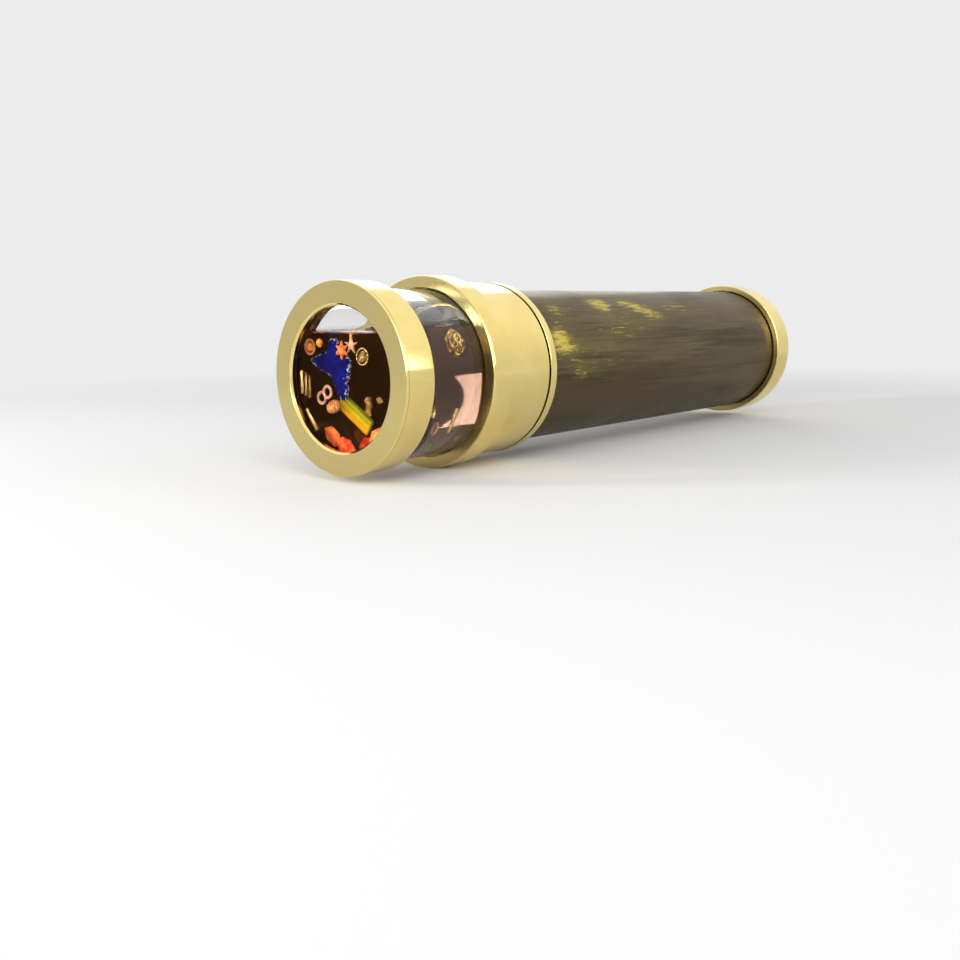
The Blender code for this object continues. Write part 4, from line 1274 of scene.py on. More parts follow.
@dataclass
class ObjectCell:
    """The turning cell: bezel, glass with its oil, gaskets, flange ring and collar sleeve."""

    aperture_radius: float = 0.0165
    socket_radius: float = 0.0205
    chamfer: float = 0.0005
    lip_depth: float = 0.0015
    bezel_edge: float = 0.00035
    bezel_front_edge: float = 0.00035 / 1.5
    seam_station: float = 0.0007
    seam_width: float = 0.00014
    seam_depth: float = 0.00012
    seam_edge: float = 0.00014 / 5
    flange_edge: float = 0.0005
    flange_front_edge: float = 0.0002
    shelf_bore: float = 0.0162
    shelf_gap: float = 0.0003
    spigot_radius: float = 0.0207
    spigot_length: float = 0.0022
    gasket_width: float = 0.0017
    gasket_inset: float = 0.0001
    gasket_edge: float = 0.0002
    glass_chamfer: float = 0.0003
    film: float = 0.0001
    sleeve_edge: float = 0.0002
    sleeve_bore: float = 0.0210
    sleeve_lip_bore: float = 0.0203
    sleeve_lip_width: float = 0.0020
    tight: float = 0.00006

    def build(self) -> None:
        """Build the cell's pieces from front to back."""
        self.bezel()
        self.glass()
        self.gasket("front_gasket", "front_seal")
        self.gasket("rear_gasket", "rear_seal")
        self.flange()
        self.sleeve()

    def bezel(self) -> None:
        """Build the bezel ring with its chamfered lip and the fine seam round its front edge."""
        at = span("front_bezel_ring")
        seam_back = self.seam_station + self.seam_width
        floor = at.radius - self.seam_depth
        brass(on_axis(rounded([
            (self.chamfer, self.aperture_radius, self.tight),
            (0.0, self.aperture_radius + self.chamfer, self.tight),
            (0.0, at.radius, self.bezel_front_edge),
            (self.seam_station, at.radius, self.seam_edge),
            (self.seam_station, floor, self.seam_edge),
            (seam_back, floor, self.seam_edge),
            (seam_back, at.radius, self.seam_edge),
            (at.back, at.radius, self.bezel_edge),
            (at.back, self.socket_radius, self.tight),
            (self.lip_depth, self.socket_radius, self.tight),
            (self.lip_depth, self.aperture_radius, self.tight),
        ])), "bezel_ring", "front_bezel_ring", Body.CELL)

    def glass(self) -> None:
        """Build the front window, the barrel and the oil in it as one clear body, and the rear window.

        A film of air parts the rear window from the filled barrel, whose flat end mirrors what is seen
        through its side.
        """
        window = span("front_window")
        rear = span("rear_cell_window")
        filled = Span(window.front, rear.front, window.radius)
        self.clear_body("cell_glass_and_oil", filled, ["front_window", "cell_barrel"])
        dry = Span(rear.front + self.film, rear.back, rear.radius)
        self.clear_body("rear_window", dry, ["rear_cell_window"])

    def clear_body(self, name: str, at: Span, nodes: Sequence[str]) -> None:
        """Build one round clear body with ground edges."""
        shown(plain_disc(at, self.glass_chamfer), name, nodes, Body.CELL, OILED_GLASS)

    def gasket(self, node: str, name: str) -> None:
        """Build one gasket, a flat ring with slightly pressed-out edges.

        Args:
            node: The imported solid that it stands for.
            name: The piece's name.
        """
        at = span(node)
        outer = at.radius - self.gasket_inset
        pressed = Span(at.front, at.back, outer)
        seal = plain_ring(pressed, outer - self.gasket_width, [self.gasket_edge] * 4)
        shown(seal, name, [node], Body.CELL, RUBBER)

    def flange(self) -> None:
        """Build the widest ring with its window shelf and the spigot that joins it to the collar."""
        at = span("flange_ring")
        shelf = span("rear_cell_window").back + self.shelf_gap
        step = at.back - self.spigot_length
        brass(on_axis(rounded([
            (at.front, self.socket_radius, self.flange_front_edge),
            (at.front, at.radius, self.flange_edge),
            (step, at.radius, self.flange_edge),
            (step, self.spigot_radius, self.tight),
            (at.back, self.spigot_radius, self.tight),
            (at.back, self.shelf_bore, self.tight),
            (shelf, self.shelf_bore, self.tight),
            (shelf, self.socket_radius, self.tight),
        ])), "flange_and_spigot", "flange_ring", Body.CELL)

    def sleeve(self) -> None:
        """Build the collar sleeve, whose rear lip runs on the tube behind the ferrule."""
        at = span("collar_sleeve")
        lip = at.back - self.sleeve_lip_width
        brass(on_axis(rounded([
            (at.front, self.sleeve_bore, self.tight),
            (at.front, at.radius, self.sleeve_edge),
            (at.back, at.radius, self.sleeve_edge),
            (at.back, self.sleeve_lip_bore, self.tight),
            (lip, self.sleeve_lip_bore, self.tight),
            (lip, self.sleeve_bore, self.tight),
        ])), "turning_collar", "collar_sleeve", Body.CELL)


@dataclass
class OilAndAir:
    """The oil and the air above it, which stay level however the cell is turned.

    Each outline is the barrel's bore on one side and the oil's level on the other. In the direction e
    from the middle c, the bore lies at the root d of |c + d e| = R and the level at (h - c_z) / e_z.
    The outline takes (d_bore^-n + d_level^-n)^(-1/n) of them, which rounds the corners between.
    """

    level: float = 0.0098
    bore: float = 0.0176
    oil_middle: float = -0.0030
    parting: float = 0.0001
    air_creep: float = 7.0
    oil_creep: float = 28.0
    least_rise: float = 0.01
    end_gap: float = 0.0004
    end_squareness: float = 14.0
    end_rings: int = 48
    points_round: int = 160

    def build(self) -> None:
        """Build the air and the oil between the two windows."""
        self.body("air_above_oil", (self.level + self.bore) / 2, self.level, self.air_creep, AIR)
        self.body("oil_fill", self.oil_middle, self.level - self.parting, self.oil_creep, OIL)

    def outline(self, middle: float, level: float, creep: float) -> np.ndarray:
        """Draw the closed outline about a middle, up or down to the level.

        Args:
            middle: Height of the middle above the axis.
            level: Height of the oil's level above the axis.
            creep: The power n, which is higher for tighter corners.

        Returns:
            The outline as rows of (y, z).
        """
        angle = round_angles(self.points_round)
        way_y, way_z = np.cos(angle), np.sin(angle)
        to_bore = -middle * way_z + np.sqrt(self.bore ** 2 - (middle * way_y) ** 2)
        rise = np.maximum(np.sign(level - middle) * way_z, self.least_rise)
        to_level = abs(level - middle) / rise
        nearer = np.minimum(to_bore, to_level)
        reach = nearer * ((nearer / to_bore) ** creep + (nearer / to_level) ** creep) ** (-1.0 / creep)
        return np.array([0.0, middle]) + reach[:, None] * np.stack([way_y, way_z], axis=-1)

    def body(self, name: str, middle: float, level: float, creep: float, finish: Finish) -> None:
        """Build the air or the oil.

        Args:
            name: The piece's name.
            middle: Height of its middle above the axis.
            level: Height above the axis at which it meets the other.
            creep: The power of its outline.
            finish: Its finish.
        """
        front = span("front_window").back
        back = span("rear_cell_window").front
        half = (back - front) / 2 - self.end_gap
        loop = self.outline(middle, level, creep)
        centre = np.array([0.0, middle])
        fill = swollen(loop, centre, half, self.end_squareness, rings=self.end_rings)
        place = Matrix.Translation((FRONT_X + (front + back) / 2, 0.0, AXIS_HEIGHT))
        shown(fill.moved(place), name, [], Body.TUBE, finish)


# The tube and its eye end


@dataclass
class RubbedPatch:
    """A place where hands have rubbed the patina through: its middle, half sizes and strength."""

    station: float
    degrees: float
    half_length: float
    half_degrees: float
    strength: float


@dataclass
class TubeSide:
    """The tube, its bearing, the rear band, and the ring, eyepiece and lens at the eye end."""

    wall: float = 0.0010
    outer_rows: int = 260
    soft_edge: float = 0.0002
    band_round: float = 0.0012
    ring_bore: float = 0.0203
    eye_round: float = 0.0010
    eye_front_round: float = 0.0003
    eye_aperture: float = 0.0165
    eye_chamfer: float = 0.0005
    eye_lip_depth: float = 0.0015
    dish_radius: float = 0.0120
    dish_depth: float = 0.0008
    dish_round: float = 0.0010
    dish_floor_round: float = 0.0003
    peephole_radius: float = 0.0045
    peephole_edge: float = 0.0001
    eyepiece_thickness: float = 0.0016
    lens_radius: float = 0.0090
    lens_cup_wall: float = 0.0016
    lens_edge: float = 0.0016
    lens_clearance: float = 0.0003
    lens_ring_width: float = 0.0012
    lens_shares: Range = (0.04, 0.985)
    lens_rows: int = 24
    tight: float = 0.00006
    patches: tuple[RubbedPatch, ...] = (
        RubbedPatch(0.0625, 47.0, 0.0050, 10.0, 0.50),
        RubbedPatch(0.0585, 19.0, 0.0046, 12.0, 0.92),
        RubbedPatch(0.0650, 14.0, 0.0050, 9.0, 0.22),
        RubbedPatch(0.0850, 54.0, 0.0055, 9.0, 0.85),
        RubbedPatch(0.0985, 55.0, 0.0050, 8.0, 0.55),
        RubbedPatch(0.1040, 47.0, 0.0050, 7.0, 0.70),
        RubbedPatch(0.1090, 39.0, 0.0050, 5.0, 0.50),
        RubbedPatch(0.0655, -3.0, 0.0060, 8.0, 0.42),
        RubbedPatch(0.0780, 5.0, 0.0100, 14.0, 0.22),
        RubbedPatch(0.0930, 28.0, 0.0130, 10.0, 0.24),
        RubbedPatch(0.1230, 48.0, 0.0100, 8.0, 0.46),
        RubbedPatch(0.0850, 30.0, 0.0300, 40.0, 0.20),
        RubbedPatch(0.0700, 118.0, 0.0080, 12.0, 0.85),
        RubbedPatch(0.0980, 152.0, 0.0100, 12.0, 0.60),
        RubbedPatch(0.1380, 128.0, 0.0120, 9.0, 0.40),
        RubbedPatch(0.0620, 205.0, 0.0060, 14.0, 0.75),
        RubbedPatch(0.1150, 236.0, 0.0140, 12.0, 0.35),
        RubbedPatch(0.0860, 300.0, 0.0080, 10.0, 0.45),
    )

    def build(self) -> None:
        """Build the pieces that stay still when the cell turns."""
        self.tube()
        self.bearing()
        self.band()
        self.eye_ring()
        self.eyepiece()
        self.lens()

    def tube(self) -> None:
        """Build the tube, with rows close enough to carry the rubbed patches."""
        at = span("main_tube")
        rows = np.linspace(at.front + 2 * self.wall, at.back - 2 * self.wall, self.outer_rows)
        ends = rounded([
            (at.back, at.radius, self.tight), (at.back, at.radius - self.wall, self.tight),
            (at.front, at.radius - self.wall, self.tight), (at.front, at.radius, self.tight),
        ])
        outer = np.stack([rows, np.full_like(rows, at.radius)], axis=-1)
        surface = on_axis(np.vstack([outer, ends]))
        surface.values["rubbed"] = self.rubbed(surface.points, at.radius - self.wall / 2)
        shown(surface, "patinated_tube", ["main_tube"], Body.TUBE, PATINA)

    def rubbed(self, points: np.ndarray, least_radius: float) -> np.ndarray:
        """Work out how far the patina is rubbed at each point.

        Each patch adds strength x exp(-(ds / half length)^2 - (da / half angle)^2), ds and da being
        the distances along the tube and round it. Points on the bore have none.

        Args:
            points: The tube's points.
            least_radius: Radius between the bore and the outside.

        Returns:
            The value at each point, from 0 to 1.
        """
        station, up = points[:, 0] - FRONT_X, points[:, 2] - AXIS_HEIGHT
        degrees = np.degrees(np.arctan2(up, -points[:, 1]))
        total = np.zeros(len(points))
        for patch in self.patches:
            away = (degrees - patch.degrees + 180.0) % 360.0 - 180.0
            along = (station - patch.station) / patch.half_length
            total += patch.strength * np.exp(-(along ** 2 + (away / patch.half_degrees) ** 2))
        outside = np.hypot(points[:, 1], up) > least_radius * ROUND_SHARE
        return np.where(outside, np.minimum(total, 1.0), 0.0)

    def bearing(self) -> None:
        """Build the ferrule that the collar's lip runs behind, and the felt washer in front of it."""
        ferrule = plain_ring(span("bearing_ferrule"), self.ring_bore, [self.tight] * 4)
        brass(ferrule, "ferrule", "bearing_ferrule", Body.TUBE)
        bore = span("main_tube").radius - self.wall
        washer = plain_ring(span("friction_washer"), bore, [self.soft_edge] * 4)
        shown(washer, "felt_washer", ["friction_washer"], Body.TUBE, FELT)

    def band(self) -> None:
        """Build the fixed band behind the running seam, rounded towards the tube."""
        edges = (self.tight, self.soft_edge, self.band_round, self.tight)
        band = plain_ring(span("rear_band"), self.ring_bore, edges)
        brass(band, "fixed_band", "rear_band", Body.TUBE)

    def eye_ring(self) -> None:
        """Build the ring that caps the tube's end, with a lip behind the eyepiece."""
        at = span("eye_end_ring")
        lip = at.back - self.eye_lip_depth
        brass(on_axis(rounded([
            (at.front, self.ring_bore, self.tight),
            (at.front, at.radius, self.eye_front_round),
            (at.back, at.radius, self.eye_round),
            (at.back, self.eye_aperture + self.eye_chamfer, self.tight),
            (at.back - self.eye_chamfer, self.eye_aperture, self.tight),
            (lip, self.eye_aperture, self.tight),
            (lip, self.ring_bore, self.tight),
        ])), "eye_end_cap_ring", "eye_end_ring", Body.TUBE)

    def eyepiece(self) -> None:
        """Build the dished eyepiece disc with its peephole, and the lens cup on its inner side."""
        at = span("eyepiece_disc")
        face = at.back - self.eyepiece_thickness
        cup_bore = self.lens_radius + self.lens_clearance
        cup_radius = cup_bore + self.lens_cup_wall
        brass(on_axis(rounded([
            (at.front, cup_bore, self.tight),
            (at.front, cup_radius, self.tight),
            (face, cup_radius, self.tight),
            (face, at.radius, self.tight),
            (at.back, at.radius, self.tight),
            (at.back, self.dish_radius, self.dish_round),
            (at.back - self.dish_depth, self.peephole_radius, self.dish_floor_round),
            (face, self.peephole_radius, self.peephole_edge),
            (face, cup_bore, self.tight),
        ])), "dished_eyepiece", "eyepiece_disc", Body.TUBE)

    def lens(self) -> None:
        """Build the eye lens, whose front bulges with the square of the radius, and its ring."""
        at = span("eye_lens")
        share = np.linspace(*self.lens_shares, self.lens_rows)
        bulge = at.back - self.lens_edge - at.front
        front = np.stack([at.front + bulge * share ** 2, at.radius * share], axis=-1)
        back = np.stack([np.full_like(share, at.back), at.radius * share[::-1]], axis=-1)
        rim = np.array([[at.back - self.lens_edge, at.radius], [at.back - self.tight, at.radius]])
        lens = on_axis(np.vstack([front, rim, back]), (at.front, at.back))
        shown(lens, "ground_eye_lens", ["eye_lens"], Body.TUBE, LENS_GLASS)
        at = span("lens_retaining_ring")
        holder = plain_ring(at, at.radius - self.lens_ring_width, [self.tight] * 4)
        brass(holder, "lens_ring", "lens_retaining_ring", Body.TUBE)


@dataclass
class MirrorTunnel:
    """The dust window, the two card plates, the three mirrors and the foam pads behind them."""

    window_edge: float = 0.0002
    seat_gap: float = 0.0003
    pad_half_degrees: float = 32.0
    pad_squareness: float = 26.0
    pad_arc_points: int = 40
    pad_flat_points: int = 30
    pad_rings: int = 60
    pad_fill: float = 0.85
    sides: tuple[tuple[str, float], ...] = (("lower", 0.0), ("left", 120.0), ("right", 240.0))

    def build(self) -> None:
        """Build the window and the pads, and dress the plates and mirrors."""
        window = plain_disc(span("dust_window"), self.window_edge)
        shown(window, "clear_dust_window", ["dust_window"], Body.TUBE, LENS_GLASS)
        for node in ("mirror_front_plate", "mirror_rear_plate"):
            dressed(node, CARD)
        for side, degrees in self.sides:
            dressed(side + "_mirror", SILVER)
            self.pad(side, degrees)

    def pad(self, side: str, degrees: float) -> None:
        """Build one foam pad: flat on the mirror's back, round on the tube's wall, soft at its ends.

        Its outline is an arc about the axis and the straight line of the mirror's back behind it.

        Args:
            side: The side of its mirror.
            degrees: Its angle round the axis, counted from below.
        """
        node = side + "_mirror_pad"
        low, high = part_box(node)
        inner = AXIS_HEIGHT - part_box("lower_mirror")[0].z + self.seat_gap
        outer = AXIS_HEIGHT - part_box("lower_mirror_pad")[0].z
        half = math.radians(self.pad_half_degrees)
        arc = np.linspace(-half, half, self.pad_arc_points)
        curve = np.stack([outer * np.sin(arc), -outer * np.cos(arc)], axis=-1)
        end = outer * math.sin(half)
        flat = np.linspace(end, -end, self.pad_flat_points)
        loop = np.vstack([curve, np.stack([flat, np.full_like(flat, -inner)], axis=-1)])
        centre = np.array([0.0, -(inner + outer) / 2])
        pad = swollen(loop, centre, (high.x - low.x) / 2, self.pad_squareness, rings=self.pad_rings)
        middle = Matrix.Translation(((low.x + high.x) / 2, 0.0, AXIS_HEIGHT))
        placed = pad.moved(middle @ turn_about("X", degrees))
        piece = shown(placed, side + "_foam_pad", [node], Body.TUBE, FOAM)


# The charms


BLUE_CHIP_SHARES = np.array([
    (0.16, 0.62), (0.12, 0.83), (-0.06, 0.91), (-0.25, 0.90), (-0.31, 0.74), (-0.25, 0.56),
    (-0.38, 0.42), (-0.64, 0.42), (-0.86, 0.30), (-0.82, 0.0), (-0.71, -0.30), (-0.70, -0.60),
    (-0.57, -0.79), (-0.38, -0.78), (-0.20, -0.56), (-0.04, -0.26), (0.18, -0.10), (0.50, 0.0),
    (0.82, 0.14), (0.95, 0.31), (0.50, 0.46),
])
BLUE_MIDDLE_SHARES = np.array([-0.15, 0.25])
SHARD_SHARES = np.array([
    (-0.95, -0.18), (-0.30, -0.62), (0.55, -0.50), (0.97, 0.05), (0.35, 0.52), (-0.45, 0.38),
])
CHIP_SHARES = np.array([
    (-0.85, -0.45), (0.10, -0.80), (0.90, -0.35), (0.72, 0.55), (-0.15, 0.90), (-0.75, 0.40),
])
FLAKE_SHARES = np.array([(-0.9, -0.2), (0.1, -0.7), (0.9, 0.1), (0.3, 0.7), (-0.4, 0.5)])
SHELL_SHARES = ((-0.50, 0.0), (-0.44, 0.45), (-0.30, 0.78), (-0.06, 1.0), (0.20, 0.90),
                (0.40, 0.60), (0.47, 0.36), (0.50, 0.0))
DROP_SHARES = ((-0.50, 0.0), (-0.44, 0.55), (-0.28, 0.95), (-0.10, 1.0), (0.12, 0.70),
               (0.34, 0.30), (0.50, 0.0))

# Rows of a faceted chip: the share of its outline's reach and of its half depth
FACET_ROWS = ((0.50, -1.0), (0.86, -0.55), (1.0, 0.0), (0.90, 0.5), (0.55, 1.0))


@dataclass(frozen=True)
class Cut:
    """A chip's cut: its outline as shares of its reach, its reach and half its depth."""

    shares: np.ndarray
    reach: float
    half_depth: float


SHARD = Cut(SHARD_SHARES, 0.0038, 0.0008)
CHIP = Cut(CHIP_SHARES, 0.0026, 0.0009)


@dataclass
class Charms:
    """What the charms of both layers share: the forms, each about its own origin."""

    body: Body
    star_squareness: float = 2.4
    facet_tilt: float = 0.3
    facet_angle: float = math.radians(5)
    facet_bevel: float = 0.00006
    flake_reach: float = 0.0013
    flake_half_depth: float = 0.00012
    crinkle: float = 0.0009
    bugle_radius: float = 0.0008
    bugle_bore: float = 0.0005
    bugle_rim: float = 0.00012
    bugle_bore_rim: float = 0.00008
    bugle_rows: int = 40
    long_bugle: float = 0.0064
    flutes: float = 6.0
    flute_twist: float = 600.0
    flute_depth: float = 0.05
    loop_share: float = 1.75
    loop_sway: float = 0.25
    loop_lean: float = 0.3
    loop_seat: float = 1.5
    grain_share: float = 2.0
    grain_sides: int = 14

    def charm(self, surface: Surface, name: str, node: str, slot: Slot, finish: Finish,
              yaw: float = 0.0, roll: float = 0.0, edge_angle: float = EDGE_ANGLE) -> bpy.types.Object:
        """Settle a charm's surface where its solid lies and show it."""
        placed = settled(surface, node, yaw, roll)
        return shown(placed, name, [node], self.body, finish, edge_angle)

    def gold(self, surface: Surface, name: str, node: str, yaw: float = 0.0, roll: float = 0.0) -> None:
        """Settle and show a charm of gold."""
        self.charm(surface, name, node, Slot.GOLD, GOLD, yaw, roll)

    def star(self, points: int, reach: float, waist: float, short: float, half_depth: float) -> Surface:
        """Make a swollen star from a smooth outline whose tips alternate with waists.

        Args:
            points: Number of tips.
            reach: Reach of the first tip.
            waist: Reach of the waists, as a share of the first tip's.
            short: Reach of the other tips, as a share of the first tip's.
            half_depth: Half the star's depth.

        Returns:
            The star.
        """
        count = np.arange(2 * points)
        turn = math.pi / 2 + math.pi * count / points
        share = np.where(count % 2 == 1, waist, short)
        share[0] = 1.0
        corners = reach * share[:, None] * np.stack([np.cos(turn), np.sin(turn)], axis=-1)
        loop = smooth_loop(corners, 12 * points)
        return swollen(loop, np.zeros(2), half_depth, self.star_squareness, rings=18)

    def faceted(self, cut: Cut) -> Surface:
        """Cut a chip with a table, slanting facets and a girdle.

        Each row is the outline at a share of its reach and of the half depth. The rows are shifted
        along Y with their depth, by up to half the tilt, so that no two facets catch the light alike.

        Args:
            cut: The chip's cut.

        Returns:
            The chip, with the value rim running to 1 at the girdle.
        """
        rows = np.array(FACET_ROWS)
        outline = cut.shares * cut.reach
        shift = np.array([self.facet_tilt * cut.reach, 0.0])
        lean = shift * np.abs(rows[:, 1:]) * 0.5 * np.sign(rows[:, 1:])
        flat = outline[None] * rows[:, None, :1] + lean[:, None]
        depth = np.broadcast_to(rows[:, None, 1:] * cut.half_depth, flat.shape[:2] + (1,))
        poles = (np.array([-cut.half_depth, *flat[0].mean(0)]),
                 np.array([cut.half_depth, *flat[-1].mean(0)]))
        surface = skin(np.concatenate([depth, flat], axis=-1), poles)
        surface.values["rim"] = np.append(np.repeat(rows[:, 0], len(outline)), [0.0, 0.0])
        return surface

    def facet_charm(self, name: str, node: str, cut: Cut, slot: Slot, finish: Finish,
                    roll: float = 0.0) -> None:
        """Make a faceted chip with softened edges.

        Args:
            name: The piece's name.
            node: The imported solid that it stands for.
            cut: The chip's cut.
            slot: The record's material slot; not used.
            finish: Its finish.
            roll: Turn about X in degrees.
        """
        piece = self.charm(self.faceted(cut), name, node, slot, finish, roll=roll,
                           edge_angle=self.facet_angle)
        bevel = piece.modifiers.new("softened_edges", "BEVEL")
        bevel.width = self.facet_bevel
        bevel.segments = 2
        bevel.limit_method = "ANGLE"

    def flake(self, name: str, node: str, yaw: float) -> None:
        """Make a thin crinkled gold flake.

        Args:
            name: The piece's name.
            node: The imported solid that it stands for.
            yaw: Turn about Z in degrees, which also shifts its crinkles.
        """
        loop = smooth_loop(FLAKE_SHARES * self.flake_reach, 48)
        leaf = swollen(loop, loop.mean(axis=0), self.flake_half_depth, 3.0, rings=16)
        self.gold(leaf.rumpled(self.crinkle, self.flake_half_depth, yaw), name, node, yaw=yaw)

    def bugle(self, name: str, node: str, length: float, roll: float = 0.0) -> None:
        """Make a fluted gold tube bead that stands along Z.

        Its outer radius is R (0.95 + 0.05 cos(6 a + twist x height)), and its bore is round.

        Args:
            name: The piece's name.
            node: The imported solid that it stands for.
            length: The bead's length.
            roll: Turn about X in degrees.
        """
        radius, bore, half = self.bugle_radius, self.bugle_bore, length / 2
        profile = rounded([
            (-half, bore, self.bugle_bore_rim), (-half, radius, self.bugle_rim),
            (half, radius, self.bugle_rim), (half, bore, self.bugle_bore_rim),
        ])
        share = np.linspace(-0.9, 0.9, self.bugle_rows)[:, None]
        rows = share * np.array([half, 0.0]) + np.array([0.0, radius])
        steps = CORNER_STEPS + 2
        profile = np.vstack([profile[:2 * steps], rows, profile[2 * steps:]])
        bead = turned(profile, sides=CHARM_SIDES)
        angle = np.arctan2(bead.points[:, 1], -bead.points[:, 2])
        out = np.hypot(bead.points[:, 1], bead.points[:, 2])
        twist = self.flutes * angle + bead.points[:, 0] * self.flute_twist
        outside = out > (radius + bore) / 2
        swell = 1.0 - self.flute_depth + self.flute_depth * np.cos(twist)
        bead.points[:, 1:] *= np.where(outside, swell, 1.0)[:, None]
        # Painted shade: groove_shade is 0 on the ridges, 1 at the bottom of each flute and all over the
        # bore
        bead.values["groove_shade"] = np.where(outside, (1.0 - np.cos(twist)) / 2.0, 1.0)
        self.gold(bead.moved(turn_about("Y")), name, node, roll=roll)

    def openwork(self, radius: float, wire: float, loops: int) -> Surface:
        """Make an openwork ball of uneven wire loops on a sphere, each with a grain near its middle.

        Loop number n has the radius L (1 + 0.25 sin(2.4 n)) and leans by 0.3 sin(1.7 n) radians.

        Args:
            radius: The ball's radius.
            wire: The wire's radius.
            loops: Number of loops.

        Returns:
            The loops and grains as one surface.
        """
        loop_radius = self.loop_share * radius / math.sqrt(loops)
        parts = []
        for number, way in enumerate(sphere_directions(loops)):
            lean = Matrix.Rotation(self.loop_lean * math.sin(1.7 * number), 4, "Y")
            size = loop_radius * (1.0 + self.loop_sway * math.sin(2.4 * number))
            loop_place = facing(way, radius - self.loop_seat * wire) @ lean
            parts.append(ring(size, wire).moved(loop_place))
            grain = ball(wire * self.grain_share, self.grain_sides)
            parts.append(grain.moved(facing(way, radius - self.grain_share * wire)))
        return joined(parts)

    def drawn(self, marks: Sequence[Range], rows: int, length: float, radius: float) -> Surface:
        """Turn the smooth line through marks, given as shares of a length and a radius, about X."""
        profile = smooth_line(marks, rows) * np.array([length, radius])
        return turned(profile[1:-1], (-length / 2, length / 2), CHARM_SIDES)


@dataclass
class FrontCharms(Charms):
    """The charms near the front window."""

    body: Body = Body.FRONT
    blue_reach: float = 0.0084
    blue_half_depth: float = 0.0010
    blue_points: int = 260
    raggedness: float = 0.012
    short_bugle: float = 0.0058
    coral_reach: float = 0.0024
    coral_half_depth: float = 0.00085
    spiked_reach: float = 0.0039
    spiked_half_depth: float = 0.0006
    bead_ring: Range = (0.0019, 0.0004)
    core_radius: float = 0.0012
    seed_radius: float = 0.0011
    bead_sides: int = 48
    gold_ring: Range = (0.0021, 0.00035)
    gold_ring_beading: float = 0.16
    gold_ring_beads: int = 30
    filigree: Range = (0.00120, 0.00015)
    filigree_loops: int = 10
    glass_ring: Range = (0.0015, 0.00045)
    shell_size: Range = (0.0050, 0.0017)
    shell_ribs: float = 7.0
    rib_depth: float = 0.1
    rib_groove_shade: float = 5.0
    rod_flute: float = 0.0008
    rod_length: float = 0.0114
    rod_squareness: float = 16.0
    nugget_radius: float = 0.00105
    nugget_pitch: float = 0.00131
    nugget_fuse: int = 9
    nugget_swing: float = 0.25
    drop_size: Range = (0.0036, 0.0009)
    shards: tuple[tuple[str, float, Finish], ...] = (
        ("red_shard_1", 24.0, FIRE), ("red_shard_2", 4.0, RUBY),
        ("red_shard_3", -16.0, RUBY), ("red_shard_4", -32.0, FIRE),
    )

    def build(self) -> None:
        """Build every front charm."""
        self.blue_chip()
        self.stars()
        self.beads()
        for number in ("1", "2", "3"):
            self.bugle("gold_bugle_" + number, "gold_bar_" + number, self.short_bugle)
        self.bugle("long_gold_bugle", "long_gold_bar", self.long_bugle, roll=-37.5)
        self.shell()
        self.rod()
        for node, roll, finish in self.shards:
            self.facet_charm(node.replace("red", "fire"), node, SHARD, Slot.RED, finish, roll)
        self.nuggets()
        self.flake("gold_leaf_1", "gold_flake_1", 35.0)
        drop = self.drawn(DROP_SHARES, 60, *self.drop_size).moved(turn_about("Y", -90.0))
        self.gold(drop, "pointed_drop", "gold_drop", roll=8.0)

    def blue_chip(self) -> None:
        """Build the cobalt chip, a broken shape with a crusted rim.

        Point n of the outline lies at 1 + r sin(0.9 n) + r sin(2.3 n + 1) times its way out, r being
        the raggedness.
        """
        loop = smooth_loop(BLUE_CHIP_SHARES * self.blue_reach, self.blue_points)
        count = np.arange(self.blue_points)
        ragged = 1.0 + self.raggedness * np.sin(count * 0.9) + self.raggedness * np.sin(count * 2.3 + 1.0)
        middle = BLUE_MIDDLE_SHARES * self.blue_reach
        loop = middle + (loop - middle) * ragged[:, None]
        chip = swollen(loop, middle, self.blue_half_depth, 3.4, rings=40)
        chip = chip.rumpled(0.0021, 0.00016, 0.7).rumpled(0.0008, 0.00005, 2.1)
        self.charm(chip, "cobalt_chip", "blue_chip", Slot.BLUE, COBALT, yaw=-6.0)

    def stars(self) -> None:
        """Build the coral star and the star with one long spike behind it."""
        coral = self.star(6, self.coral_reach, 0.52, 1.0, self.coral_half_depth)
        coral = coral.rumpled(0.0009, 0.00009, 0.3)
        self.charm(coral, "pebbled_coral_star", "coral_star", Slot.CORAL, CORAL)
        spiked = self.star(5, self.spiked_reach, 0.26, 0.62, self.spiked_half_depth)
        spiked = spiked.rumpled(0.0012, 0.00006, 1.3)
        self.charm(spiked, "long_spiked_star", "spiked_star", Slot.BLUSH, BLUSH)

    def beads(self) -> None:
        """Build the amber bead in its ring, the seed bead, the filigree bead and the clear rings."""
        self.charm(ring(*self.bead_ring), "bead_ring", "amber_bead_ring", Slot.GLASS, HONEY)
        core = ball(self.core_radius, self.bead_sides).rumpled(0.0008, 0.00005, 0.5)
        self.charm(core, "amber_core", "amber_bead", Slot.AMBER, AMBER)
        seed = ball(self.seed_radius, self.bead_sides).rumpled(0.0009, 0.00006, 1.5)
        self.charm(seed, "amber_seed", "amber_seed_bead", Slot.AMBER, AMBER)
        beaded = ring(*self.gold_ring, self.gold_ring_beading, self.gold_ring_beads)
        self.gold(beaded, "beaded_gold_ring", "filigree_bead_ring")
        lace = self.openwork(*self.filigree, self.filigree_loops)
        self.gold(lace, "filigree_ball", "filigree_bead")
        for number in ("1", "2", "3"):
            self.charm(ring(*self.glass_ring), "glass_ring_" + number, "clear_ring_" + number,
                       Slot.GLASS, ROSE)

